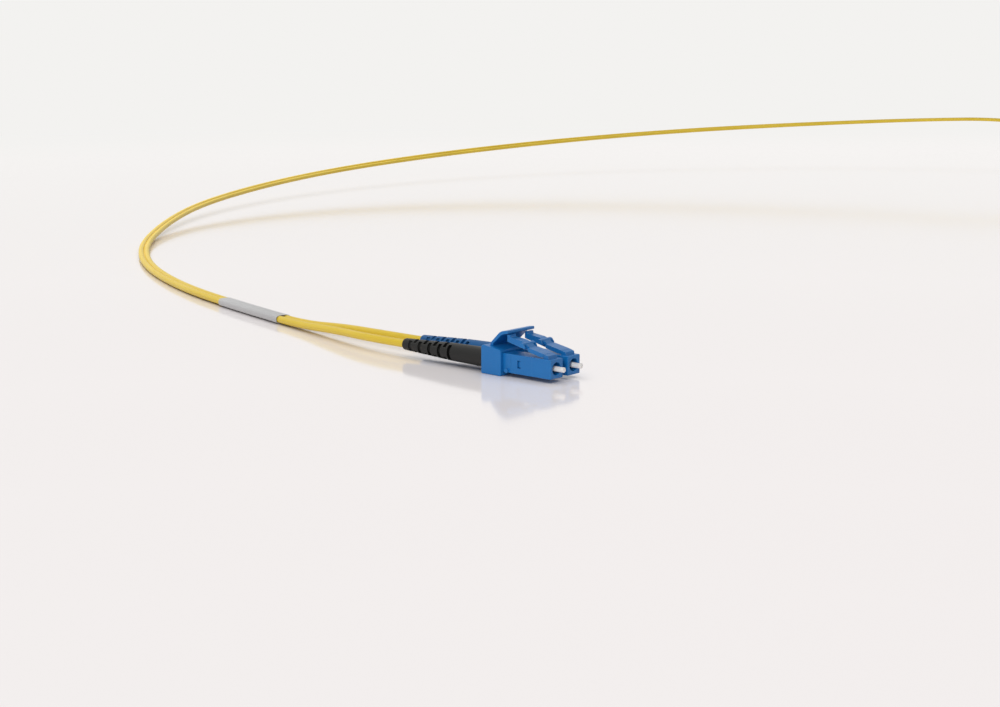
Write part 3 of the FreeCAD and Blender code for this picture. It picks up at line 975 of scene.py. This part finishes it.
@dataclass(frozen=True)
class Clip:
    """The sizes of the duplex clip and its trigger, in the connector's frame."""

    width: float = 12.75
    half_length: float = 3.05
    rear_height: float = 6.9
    front_height: float = 6.1
    exit_size: float = 3.5
    shoulder_rear: float = -2.42
    shoulder_width: float = 4.3
    housing_rear: float = 0.1
    gap: float = 0.02
    trigger_width: float = 9.7
    flex_start: Corner = (-1.35, 0.0, 6.85)
    flex_end: Corner = (-0.55, 0.0, 7.65)

    def clip(self, plug: Plug) -> bpy.types.Mesh:
        """Shapes the clip's block with its two stepped pockets.

        Args:
            plug: The plugs that it holds.

        Returns:
            Its blank.
        """
        side = rounded([
            (-self.half_length, 0, 0.3), (self.half_length, 0, 0.25),
            (self.half_length, self.front_height, 0.5), (-self.half_length, self.rear_height, 0.7),
        ])
        block = Solid.plate(side, (-self.width / 2, self.width / 2)).eased(0.28, 3)
        for sign in (-1, 1):
            middle = sign * plug.pitch / 2
            for width, low in ((plug.width, self.housing_rear), (self.shoulder_width, self.shoulder_rear)):
                half = width / 2 + self.gap
                block.cut(
                    Solid.block(
                        (low, self.half_length + 1), (middle - half, middle + half),
                        (plug.axis_height - half, plug.axis_height + half),
                    )
                )
            hole = Solid.rod((-self.half_length - 1, 0), self.exit_size, 48)
            block.cut(hole.moved(Matrix.Translation((0, middle, plug.axis_height))))
        return block.eased(0.06, 2).blank()

    def trigger(self) -> bpy.types.Mesh:
        """Shapes the hooded lever, with its thin root let into the clip's top.

        Returns:
            Its blank.
        """
        half = self.trigger_width / 2
        plate = Solid.plate(
            rounded([
                (-1.5, 6.55, 0), (-0.75, 6.5, 0), (-0.5, 7.15, 0.5), (1.85, 9.3, 1.2), (2.55, 9.6, 1.0),
                (3.9, 9.85, 0.2), (3.9, 10.57, 0.3), (2.15, 10.35, 1.6), (1.25, 9.9, 1.2), (-1.4, 7.3, 0.4),
            ]),
            (-half, half),
        )
        return plate.eased(0.14, 2).sliced([-1.4 + 0.12 * k for k in range(12)]).blank()


# ------------------------------------------------------------------------------------------- connector


@dataclass(frozen=True)
class Connector:
    """One duplex connector: its pieces, most of them on a body; the trigger and the latch arms are on none.
    """

    end: End
    plug: Plug
    boot: Boot
    clip: Clip

    def node(self, piece: str, side: Optional[Side] = None) -> str:
        """A CAD node's name at this end."""
        return f"{self.end.value}_{piece}" + (f"_{side.letter}" if side else "")

    def plug_place(self, side: Side) -> Matrix:
        """Finds a plug's frame from its ferrule's joint.

        Args:
            side: Which plug.

        Returns:
            The place of the plug's own frame, in metres.
        """
        slide = joint(self.node("ferrule_slide", side))
        along = Vector(slide["axis"])
        seat = Vector(slide["deforming_nodes"][0]["fixed_end_m"])
        turn = Matrix.Rotation(math.atan2(along.y, along.x), 4, "Z")
        return Matrix.Translation(seat + along * self.plug.spring_seat * MM) @ turn

    def place(self) -> Matrix:
        """Finds the connector's frame, midway between its plugs.

        Returns:
            The place of the connector's own frame, in metres.
        """
        first, second = self.plug_place(Side.A), self.plug_place(Side.B)
        middle = (first.translation + second.translation) / 2
        turn = first.to_3x3().to_4x4()
        back = Vector((-self.plug.reach, 0, -self.plug.axis_height)) * MM
        return Matrix.Translation(middle) @ turn @ Matrix.Translation(back)

    def bend(self, piece: bpy.types.Object) -> None:
        """Bakes a piece's place into its mesh; the piece isn't made to flex.

        Args:
            piece: The piece.
        """
        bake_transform(piece)

    def build(
        self, blanks: dict[str, bpy.types.Mesh], boots: dict[Side, Finish],
    ) -> dict[Side, list[bpy.types.Object]]:
        """Places every piece of this connector.

        Args:
            blanks: The finished meshes by name.
            boots: Each side's boot finish.

        Returns:
            The pieces that go with each side's leg. The clip and the trigger go with side A.
        """
        place = self.place()
        going: dict[Side, list[bpy.types.Object]] = {side: [] for side in Side}
        clip = placed(self.node("duplex_clip"), blanks["clip"], place, BLUE_PLASTIC)
        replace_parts(clip, self.node("clip"))
        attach(clip, "root")
        trigger = placed(self.node("release_trigger"), blanks["trigger"], place, BLUE_PLASTIC)
        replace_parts(trigger, self.node("trigger"))
        self.bend(trigger)
        going[Side.A] += [clip, trigger]
        for side in Side:
            going[side] += self.build_plug(side, blanks, boots[side])
        return going

    def build_plug(
        self, side: Side, blanks: dict[str, bpy.types.Mesh], boot: Finish,
    ) -> list[bpy.types.Object]:
        """Places one plug's pieces.

        Args:
            side: Which plug.
            blanks: The finished meshes by name.
            boot: The boot's finish.

        Returns:
            The plug's pieces.
        """
        place = self.plug_place(side)
        pieces = []
        for blank, label, node, finish, body in (
            ("housing", "plug_housing", "housing", BLUE_PLASTIC, "root"),
            ("boot", "strain_relief_boot", "boot", boot, "root"),
            ("ferrule", "ceramic_ferrule", "ferrule", CERAMIC, self.node("ferrule", side)),
            ("spring", "ferrule_spring", "spring", SPRING_STEEL, "root"),
            ("latch", "latch_arm", "latch", BLUE_PLASTIC, None),
        ):
            piece = placed(self.node(label, side), blanks[blank], place, finish)
            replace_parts(piece, self.node(node, side))
            if body:
                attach(piece, body)
            pieces.append(piece)
        self.bend(pieces[-1])
        spring = pieces[3]
        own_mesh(spring)
        for node, finish in (
            ("ferrule_holder", NICKEL), ("buffered_fibre", FIBRE_BUFFER), ("rear_body", BLUE_PLASTIC),
            ("crimp_sleeve", CRIMP), ("jacket_end", YELLOW_JACKET),
        ):
            kept = frame["nodes"][self.node(node, side)]
            kept.data.materials.clear()
            kept.data.materials.append(finish.build())
            pieces.append(kept)
        return pieces


# ------------------------------------------------------------------------------------------- cords


@dataclass(frozen=True)
class Sweep:
    """A cord's line, smooth and evenly spaced, with what is drawn along it."""

    points: list[Vector]
    sharp_from: float = math.radians(40)

    @classmethod
    def along(cls, route: Sequence[Sequence[float]], spacing: float) -> "Sweep":
        """Reads the smooth line of a route.

        Args:
            route: The route's points, in metres: the control points of one NURBS spline.
            spacing: The distance between the line's points.

        Returns:
            The line.
        """
        curve = bpy.data.curves.new("route", "CURVE")
        curve.dimensions = "3D"
        curve.resolution_u = 24
        spline = curve.splines.new("NURBS")
        spline.points.add(len(route) - 1)
        for knot, point in zip(spline.points, route):
            knot.co = (*point, 1.0)
        spline.order_u = 3
        spline.use_endpoint_u = True
        guide = bpy.data.objects.new("route", curve)
        bpy.context.scene.collection.objects.link(guide)
        bpy.context.view_layer.update()
        mesh = bpy.data.meshes.new_from_object(guide.evaluated_get(bpy.context.evaluated_depsgraph_get()))
        fine = [vertex.co.copy() for vertex in mesh.vertices]
        bpy.data.objects.remove(guide)
        bpy.data.curves.remove(curve)
        bpy.data.meshes.remove(mesh)
        return cls(cls.spaced(fine, spacing))

    @staticmethod
    def spaced(fine: Sequence[Vector], spacing: float) -> list[Vector]:
        """Spaces points evenly along a line.

        Args:
            fine: The line's own points.
            spacing: The wanted distance.

        Returns:
            The evenly spaced points, with both ends kept.
        """
        total = sum((b - a).length for a, b in zip(fine, fine[1:]))
        count = max(2, round(total / spacing))
        kept, gone, wanted = [fine[0].copy()], 0.0, total / count
        for a, b in zip(fine, fine[1:]):
            run = (b - a).length
            while len(kept) < count and gone + run >= wanted * len(kept):
                kept.append(a.lerp(b, (wanted * len(kept) - gone) / run))
            gone += run
        return [*kept, fine[-1].copy()]

    @property
    def length(self) -> float:
        """The line's length in metres."""
        return sum((b - a).length for a, b in zip(self.points, self.points[1:]))

    def stretch(self, start: float, end: float) -> "Sweep":
        """Takes a part of the line.

        Args:
            start: The distance from the line's start at which the part begins.
            end: The distance at which it ends.

        Returns:
            The part.
        """
        kept, gone = [], 0.0
        for i, point in enumerate(self.points):
            gone += (point - self.points[i - 1]).length if i else 0.0
            if start <= gone <= end:
                kept.append(point)
        return Sweep(kept)

    def mesh(
        self, section: Sequence[Point2], twist: Callable[[float], float], hollow: float = 0.0,
    ) -> bpy.types.Mesh:
        """Sweeps a section along the line, flat side level.

        Args:
            section: The section's points, in millimetres: across and up.
            twist: The section's turn about the line in radians, from the distance along it.
            hollow: The wall's thickness of a hollow section, or 0 for a solid one.

        Returns:
            The mesh, in metres, with the attribute that the drawn lines read.
        """
        count, rings, lays = len(section), [], []
        girth = [0.0]
        for a, b in zip(section, section[1:]):
            girth.append(girth[-1] + math.dist(a, b) * MM)
        wide, high = (max(abs(point[k]) for point in section) for k in (0, 1))
        walls = (0.0, hollow) if hollow else (0.0,)
        for wall in walls:
            gone = 0.0
            for i, point in enumerate(self.points):
                gone += (point - self.points[i - 1]).length if i else 0.0
                ahead = self.points[min(i + 1, len(self.points) - 1)]
                heading = (ahead - self.points[max(i - 1, 0)]).normalized()
                turn = Matrix.Rotation(twist(gone), 3, heading)
                across = turn @ heading.cross(Vector((0, 0, 1))).normalized()
                up = across.cross(heading)
                for k, (y, z) in enumerate(section):
                    y, z = y * (1 - wall / wide), z * (1 - wall / high)
                    rings.append(point + across * y * MM + up * z * MM)
                    lays.append((girth[k], gone, 0.0))
        steps, faces = len(self.points), []
        for layer in range(len(walls)):
            base = layer * steps * count
            for i in range(steps - 1):
                for k in range(count):
                    m, low = (k + 1) % count, base + i * count
                    faces.append((low + k, low + m, low + count + m, low + count + k))
        if hollow:
            for i in (0, steps - 1):
                for k in range(count):
                    m, low, inside = (k + 1) % count, i * count, (steps + i) * count
                    faces.append((low + k, low + m, inside + m, inside + k))
        else:
            faces += [tuple(range(count)), tuple(range((steps - 1) * count, steps * count))]
        mesh = bpy.data.meshes.new("sweep")
        mesh.from_pydata(rings, [], faces)
        form = bmesh.new()
        form.from_mesh(mesh)
        bmesh.ops.recalc_face_normals(form, faces=form.faces)
        form.to_mesh(mesh)
        form.free()
        lay = mesh.attributes.new("lay", "FLOAT_VECTOR", "POINT")
        lay.data.foreach_set("vector", [number for triple in lays for number in triple])
        mesh.polygons.foreach_set("use_smooth", [True] * len(mesh.polygons))
        mesh.set_sharp_from_angle(angle=self.sharp_from)
        return mesh

    def piece(
        self, name: str, section: Sequence[Point2], finish: Finish,
        twist: Callable[[float], float] = lambda gone: 0.0, hollow: float = 0.0,
    ) -> bpy.types.Object:
        """Makes a piece of a section swept along the line.

        Args:
            name: The piece's name.
            section: The section's points, in millimetres.
            finish: The piece's finish.
            twist: The section's turn from the distance along the line.
            hollow: The wall's thickness of a hollow section.

        Returns:
            The piece, riding on the root.
        """
        mesh = self.mesh(section, twist, hollow)
        mesh.materials.append(finish.build())
        piece = bpy.data.objects.new(name, mesh)
        bpy.context.scene.collection.objects.link(piece)
        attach(piece, "root")
        LOG.info("%s: %.1f mm long, %d faces", name, self.length / MM, len(mesh.polygons))
        return piece


@dataclass(frozen=True)
class Cable:
    """The flat two-lobed cord and its single legs, in millimetres in the CAD model's frame."""

    lobe: float = 2.0
    spacing: float = 2.1
    web: float = 0.6
    spacing_along: float = 1.5
    sleeve_length: float = 40.0
    sleeve_grip: float = 3.0
    sleeve_wall: float = 0.14
    sleeve_half: Point2 = (2.3, 1.24)
    sleeve_square: Point2 = (0.8, 0.62)
    sleeve_dip: float = 0.05
    sleeve_dip_reach: float = 0.9

    def round_section(self, steps: int = 24) -> list[Point2]:
        """One leg's round section.

        Args:
            steps: The number of its points.

        Returns:
            The section's points.
        """
        radius = self.lobe / 2
        angles = [2 * math.pi * k / steps for k in range(steps)]
        return [(radius * math.cos(a), radius * math.sin(a)) for a in angles]

    def flat_section(self, steps: int = 14) -> list[Point2]:
        """The cord's section: two lobes with a thin web between them.

        Args:
            steps: The number of segments on a lobe.

        Returns:
            The section's points.
        """
        radius = self.lobe / 2
        open_angle = math.asin(self.web / 2 / radius)
        sweep = [-math.pi + open_angle + (2 * math.pi - 2 * open_angle) * k / steps for k in range(steps + 1)]
        right = [(self.spacing / 2 + radius * math.cos(a), radius * math.sin(a)) for a in sweep]
        left = [(-y, -z) for y, z in right]
        return right + left

    def sleeve_section(self, steps: int = 40) -> list[Point2]:
        """The shrink sleeve's section: a soft flat oval drawn in a little along its middle.

        Args:
            steps: The number of its points.

        Returns:
            The section's points.
        """
        points = []
        for k in range(steps):
            angle = 2 * math.pi * k / steps
            turns = (math.cos(angle), math.sin(angle))
            across, up = (
                math.copysign(abs(turn) ** power, turn) * half
                for turn, power, half in zip(turns, self.sleeve_square, self.sleeve_half)
            )
            dip = self.sleeve_dip * math.exp(-((across / self.sleeve_dip_reach) ** 2))
            points.append((across, up * (1 - dip)))
        return points


@dataclass(frozen=True)
class Coil:
    """The put-away length: four turns in two layers, wound clockwise from outside in and out again."""

    centre: Corner = (-75.0, 713.0, 0.0)
    outer: float = 24.75
    inner: float = 16.25
    first_height: float = 1.45
    second_height: float = 3.6
    entry: float = 60.0
    turning: float = 1500.0
    steps: int = 100
    climb: float = 0.06

    def route(self) -> list[Corner]:
        """Works out the turns.

        Returns:
            The points from the entry to the exit.
        """
        points = []
        for i in range(self.steps + 1):
            share = i / self.steps
            angle = math.radians(self.entry - self.turning * share)
            radius = self.inner + (self.outer - self.inner) * abs(2 * share - 1)
            rise = min(max((share - 0.5) / self.climb + 0.5, 0.0), 1.0)
            eased = rise * rise * (3 - 2 * rise)
            height = self.first_height + (self.second_height - self.first_height) * eased
            x, y, z = self.centre
            points.append((x + radius * math.cos(angle), y + radius * math.sin(angle), z + height))
        return points


@dataclass(frozen=True)
class Tie:
    """The woven strap round the coil's turns, on the side away from where the cord comes in."""

    centre: Corner = (-75.0, 713.0, 0.0)
    far: float = -27.2
    near: float = -13.57
    top: float = 4.98
    wall: float = 0.38
    width: float = 5.0
    corner: float = 0.9

    def shape(self) -> bpy.types.Object:
        """Makes the closed band.

        Returns:
            The piece.
        """
        outer = rounded([(x, z, self.corner) for x, z in self.rectangle(0.0)], 6)
        inner = rounded([(x, z, self.corner - self.wall) for x, z in self.rectangle(self.wall)], 6)
        count, points, lays, faces = len(outer), [], [], []
        half = self.width / 2
        girth = 0.0
        for i, (out, into) in enumerate(zip(outer, inner)):
            girth += math.dist(out, outer[i - 1]) * MM if i else 0.0
            for loop_point, y in ((out, -half), (out, half), (into, half), (into, -half)):
                points.append((loop_point[0], y, loop_point[1]))
                lays.append((girth, y * MM, 0.0))
        for i in range(count):
            m = (i + 1) % count
            faces += [(4 * i + k, 4 * i + (k + 1) % 4, 4 * m + (k + 1) % 4, 4 * m + k) for k in range(4)]
        band = Solid(points, faces)
        lay = band.thing.data.attributes.new("lay", "FLOAT_VECTOR", "POINT")
        lay.data.foreach_set("vector", [number for triple in lays for number in triple])
        piece = placed("coil_strap", band.blank(), Matrix.Translation(Vector(self.centre) * MM), STRAP)
        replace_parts(piece, "coil_tie")
        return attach(piece, "root")

    def rectangle(self, inset: float) -> list[Point2]:
        """The band's outline in x and z.

        Args:
            inset: How far it is drawn in.

        Returns:
            The outline's corners.
        """
        return [
            (self.far + inset, inset), (self.near - inset, inset),
            (self.near - inset, self.top - inset), (self.far + inset, self.top - inset),
        ]


class Harness:
    """The cords: four single legs, the flat cord with its coil, two shrink sleeves and the tie."""

    near_legs: dict[Side, list[Corner]] = {
        Side.A: [
            (-31.05, -3.125, 3.15), (-44.0, -3.125, 3.15), (-62.0, 1.2, 2.6), (-80.35, 5.4, 1.3),
            (-93.99, 8.7, 1.3),
        ],
        Side.B: [
            (-31.05, 3.125, 3.15), (-44.0, 3.125, 3.15), (-62.0, 5.6, 2.6), (-79.9, 7.4, 1.3),
            (-93.5, 10.7, 1.3),
        ],
    }
    near_heading = Vector((-0.9714, 0.2375, 0.0))
    main: list[Corner] = [
        (-93.75, 9.7, 1.3),
        (-130.4, 18.7, 1.3),
        (-172.0, 33.0, 1.1),
        (-215.0, 53.5, 1.05),
        (-254.0, 79.0, 1.1),
        (-287.0, 106.0, 1.7),
        (-326.0, 146.0, 3.6),
        (-359.0, 188.0, 5.7),
        (-388.0, 240.0, 8.0),
        (-410.0, 294.0, 10.4),
        (-424.0, 347.0, 12.8),
        (-430.0, 400.0, 15.3),
        (-429.5, 452.0, 17.9),
        (-422.5, 504.0, 20.6),
        (-409.0, 552.0, 23.3),
        (-389.0, 599.0, 26.0),
        (-362.0, 642.0, 28.5),
        (-329.0, 681.0, 30.8),
        (-292.0, 714.0, 32.9),
        (-249.0, 741.0, 34.9),
        (-205.0, 756.0, 36.0),
        (-165.0, 766.0, 31.0),
        (-130.0, 766.0, 20.0),
        (-101.0, 757.0, 9.5),
        (-81.0, 746.5, 2.6),
    ]
    tail_steps: list[Corner] = [(0.15, -12.0, -0.2), (0.6, -24.0, -2.0)]
    far_legs: list[Corner] = [
        (-31.05, 3.125, 3.15), (-44.0, 3.125, 3.15), (-61.0, 2.5, 2.5), (-79.0, 1.025, 1.3),
        (-93.0, 1.025, 1.3),
    ]
    far_bend: Corner = (-130.0, 0.0, 1.3)
    far_split: Corner = (-93.0, 0.0, 1.3)
    # Distances along the cord from the split, in metres, and its turn about its own line, in degrees.
    twists: list[Point2] = [
        (0.0, 0.0), (0.20, 0.0), (0.42, 18.0), (0.62, 30.0), (0.80, 22.0), (1.0, 8.0), (1.08, 0.0),
    ]

    def __init__(self, cable: Cable, coil: Coil, far: Matrix) -> None:
        """Keeps what the cords are drawn from.

        Args:
            cable: The cord's sections.
            coil: The put-away length.
            far: The far connector's place.
        """
        self.cable, self.coil, self.far = cable, coil, far

    def metres(self, route: Iterable[Sequence[float]]) -> list[Vector]:
        """A route's points in metres."""
        return [Vector(point) * MM for point in route]

    def from_far(self, route: Iterable[Sequence[float]]) -> list[Vector]:
        """Points given in the far connector's frame, in metres in the CAD model's frame."""
        return [self.far @ (Vector(point) * MM) for point in route]

    def twist(self, gone: float) -> float:
        """The flat cord's turn about its own line.

        Args:
            gone: The distance from the split, in metres.

        Returns:
            The turn in radians.
        """
        for (start, low), (end, high) in zip(self.twists, self.twists[1:]):
            if gone <= end:
                share = max(0.0, (gone - start) / (end - start))
                return math.radians(low + (high - low) * share * share * (3 - 2 * share))
        return 0.0

    def legs(self) -> None:
        """Makes the four single legs.
        """
        section = self.cable.round_section()
        for side, route in self.near_legs.items():
            line = Sweep.along(self.metres(route), self.cable.spacing_along * MM)
            leg = line.piece(f"near_single_leg_{side.letter}", section, YELLOW_JACKET)
            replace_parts(leg, f"near_leg_{side.letter}")
            line.length
        for side in Side:
            route = [(x, side.value * y, z) for x, y, z in reversed(self.far_legs)]
            line = Sweep.along(self.from_far(route), self.cable.spacing_along * MM)
            leg = line.piece(f"far_single_leg_{side.letter}", section, YELLOW_JACKET)
            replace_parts(leg, f"far_leg_{side.letter}")
            line.length

    def flat_cord(self) -> None:
        """Makes the flat cord from split to split, with its sleeves and the coil's tie."""
        turns = self.coil.route()
        out = Vector(turns[-1])
        after = [out + Vector(step) for step in self.tail_steps]
        route = self.metres([*self.main, *turns, *after]) + self.from_far([self.far_bend, self.far_split])
        line = Sweep.along(route, self.cable.spacing_along * MM)
        far_heading = self.far.to_3x3() @ Vector((-1, 0, 0))
        cord = line.piece("flat_duplex_cord", self.cable.flat_section(), YELLOW_JACKET, self.twist)
        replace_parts(cord, "main_cord", "coil", "tail_cord")
        sleeves = [
            self.sleeve("near_shrink_sleeve", "near_sleeve", line.points, self.near_heading),
            self.sleeve("far_shrink_sleeve", "far_sleeve", line.points[::-1], far_heading),
        ]
        tie = Tie(centre=self.coil.centre).shape()
        line.length

    def sleeve(self, name: str, node: str, points: list[Vector], heading: Vector) -> bpy.types.Object:
        """Makes a shrink sleeve over the place where the cord divides.

        Args:
            name: The piece's name.
            node: The CAD node that it replaces.
            points: The flat cord's line, from the split.
            heading: The cord's direction at the split.

        Returns:
            The piece.
        """
        grip = self.cable.sleeve_grip * MM
        end = self.cable.sleeve_length * MM - grip
        on = Sweep(points).stretch(0.0, end).points
        line = Sweep(Sweep.spaced([points[0] - heading * grip, *on], MM))
        piece = line.piece(name, self.cable.sleeve_section(), GREY_SLEEVE, hollow=self.cable.sleeve_wall)
        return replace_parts(piece, node)


# ------------------------------------------------------------------------------------------- studio


@dataclass(frozen=True)
class Studio:
    """A pale glossy floor, soft light from all round, and the camera. Sizes are in metres."""

    camera_place: Corner = (0.22665, -0.2625, 0.0699)
    yaw: float = 41.14
    pitch: float = 10.74
    lens: float = 54.0
    sensor: float = 36.0
    clip: Point2 = (0.01, 50.0)
    floor_size: float = 12.0
    floor_steps: int = 96
    floor_middle: Point2 = (0.05, 0.55)
    floor_reach: Point2 = (1.6, 1.1)
    floor_fade: float = 0.35
    floor_roughness: float = 0.1
    floor_ior: float = 1.5
    floor_colour: Corner = (0.875, 0.83, 0.832)
    floor_light: float = 2.2
    fill: float = 0.36
    pale: Corner = (0.896, 0.888, 0.871)
    lamp_size: float = 0.4
    over_power: float = 3.7
    side_power: float = 3.3

    def floor(self) -> bpy.types.Collection:
        """Makes the floor and its finish.

        Returns:
            The collection that keeps the lamps off the floor, so that it is lit evenly by its surroundings.
        """
        steps = self.floor_steps
        ring = [2 * math.pi * k / steps for k in range(steps)]
        mesh = bpy.data.meshes.new("floor")
        points = [(self.floor_size * math.cos(a), self.floor_size * math.sin(a), 0.0) for a in ring]
        mesh.from_pydata(points, [], [tuple(range(steps))])
        floor = bpy.data.objects.new("floor", mesh)
        bpy.context.scene.collection.objects.link(floor)
        mesh.materials.append(self.floor_finish())
        kept_off = bpy.data.collections.new("kept_off")
        kept_off.objects.link(floor)
        kept_off.collection_objects[0].light_linking.link_state = "EXCLUDE"
        self.overhead(floor)
        return kept_off

    def overhead(self, floor: bpy.types.Object) -> None:
        """Lights the floor alone, evenly from above.

        Args:
            floor: The floor.
        """
        only = bpy.data.collections.new("floor_only")
        only.objects.link(floor)
        light = bpy.data.lights.new("floor_light", "SUN")
        light.energy, light.angle = self.floor_light, math.pi / 2
        lamp = bpy.data.objects.new("floor_light", light)
        bpy.context.scene.collection.objects.link(lamp)
        lamp.visible_glossy = False
        lamp.light_linking.receiver_collection = only

    def floor_finish(self) -> bpy.types.Material:
        """Makes the floor's finish: pale and glossy, and as bright as the surroundings far away.

        Returns:
            The material.
        """
        material = bpy.data.materials.new("PaleFloor")
        material.use_nodes = True
        nodes = Nodes(material.node_tree)
        shader = nodes.add("BsdfPrincipled")
        shader.inputs["Base Color"].default_value = (*self.floor_colour, 1.0)
        shader.inputs["Roughness"].default_value = self.floor_roughness
        shader.inputs["IOR"].default_value = self.floor_ior
        glow = nodes.add("Emission")
        glow.inputs["Color"].default_value = (*self.pale, 1.0)
        place = nodes.add("Mapping", vector_type="TEXTURE")
        place.inputs["Location"].default_value = (*self.floor_middle, 0.0)
        place.inputs["Rotation"].default_value = (0.0, 0.0, math.radians(self.yaw))
        place.inputs["Scale"].default_value = (*self.floor_reach, 1.0)
        nodes.link(nodes.add("TexCoord").outputs["Object"], place.inputs["Vector"])
        reach = nodes.add("VectorMath", operation="LENGTH")
        nodes.link(place.outputs["Vector"], reach.inputs[0])
        edge = nodes.add("MapRange", interpolation_type="SMOOTHERSTEP")
        edge.inputs["From Min"].default_value = self.floor_fade
        nodes.link(reach.outputs["Value"], edge.inputs["Value"])
        mix = nodes.add("MixShader")
        nodes.link(edge.outputs["Result"], mix.inputs[0])
        nodes.link(shader.outputs["BSDF"], mix.inputs[1])
        nodes.link(glow.outputs["Emission"], mix.inputs[2])
        nodes.link(mix.outputs["Shader"], nodes.add("OutputMaterial").inputs["Surface"])
        return material

    def sky(self) -> None:
        """Makes the even pale surroundings."""
        world = bpy.data.worlds.new("surroundings")
        bpy.context.scene.world = world
        world.use_nodes = True
        nodes = Nodes(world.node_tree)
        background = nodes.add("Background")
        background.inputs["Color"].default_value = (*self.pale, 1.0)
        bounce = nodes.add("LightPath").outputs["Is Diffuse Ray"]
        nodes.link(nodes.spread(bounce, SHARE, (1.0, self.fill)), background.inputs["Strength"])
        nodes.link(background.outputs["Background"], nodes.add("OutputWorld").inputs["Surface"])

    def lamp(
        self, name: str, kept_off: bpy.types.Collection, place: Corner, target: Corner, power: float,
    ) -> None:
        """Hangs one soft lamp.

        Args:
            name: Its name.
            kept_off: What it doesn't light.
            place: Where it hangs, in metres.
            target: What it points at.
            power: Its power in watts.
        """
        light = bpy.data.lights.new(name, "AREA")
        light.shape = "SQUARE"
        light.size, light.energy = self.lamp_size, power
        lamp = bpy.data.objects.new(name, light)
        bpy.context.scene.collection.objects.link(lamp)
        lamp.location = place
        lamp.rotation_mode = "QUATERNION"
        lamp.rotation_quaternion = (Vector(target) - Vector(place)).to_track_quat("-Z", "Y")
        lamp.visible_glossy = False
        lamp.light_linking.receiver_collection = kept_off

    def camera(self) -> None:
        """Sets up the camera."""
        data = bpy.data.cameras.new("camera")
        data.lens = self.lens
        data.sensor_width = self.sensor
        data.clip_start, data.clip_end = self.clip
        camera = bpy.data.objects.new("camera", data)
        bpy.context.scene.collection.objects.link(camera)
        camera.location = self.camera_place
        camera.rotation_euler = (math.radians(90 - self.pitch), 0.0, math.radians(self.yaw))
        bpy.context.scene.camera = camera

    def build(self) -> None:
        """Makes the studio."""
        kept_off = self.floor()
        self.sky()
        self.lamp("over_light", kept_off, (-0.6, 0.15, 0.5), (-0.42, 0.25, 0.0), self.over_power)
        self.lamp("side_light", kept_off, (0.25, -0.7, 0.4), (0.0, 0.0, 0.0), self.side_power)
        self.camera()
        bpy.context.scene.view_settings.view_transform = "Standard"


def main() -> None:
    """Builds the patch cord and its studio."""
    logging.basicConfig(level=logging.INFO, format="%(name)s %(message)s")
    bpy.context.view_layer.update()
    Studio().build()
    plug, boot, clip = Plug(), Boot(), Clip()
    blanks = {
        "housing": plug.housing(), "latch": plug.latch(), "ferrule": plug.ferrule(), "spring": plug.spring(),
        "boot": boot.shape(), "clip": clip.clip(plug), "trigger": clip.trigger(),
    }
    boots: dict[Side, Finish] = {Side.A: BLACK_RUBBER, Side.B: BLUE_RUBBER}
    near, far = (Connector(end, plug, boot, clip) for end in End)
    near.build(blanks, boots)
    going = far.build(blanks, boots)
    harness = Harness(Cable(), Coil(), far.place())
    harness.legs()
    harness.flat_cord()
    for blank in blanks.values():
        bpy.data.meshes.remove(blank)
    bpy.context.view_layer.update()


if __name__ == "__main__":
    main()
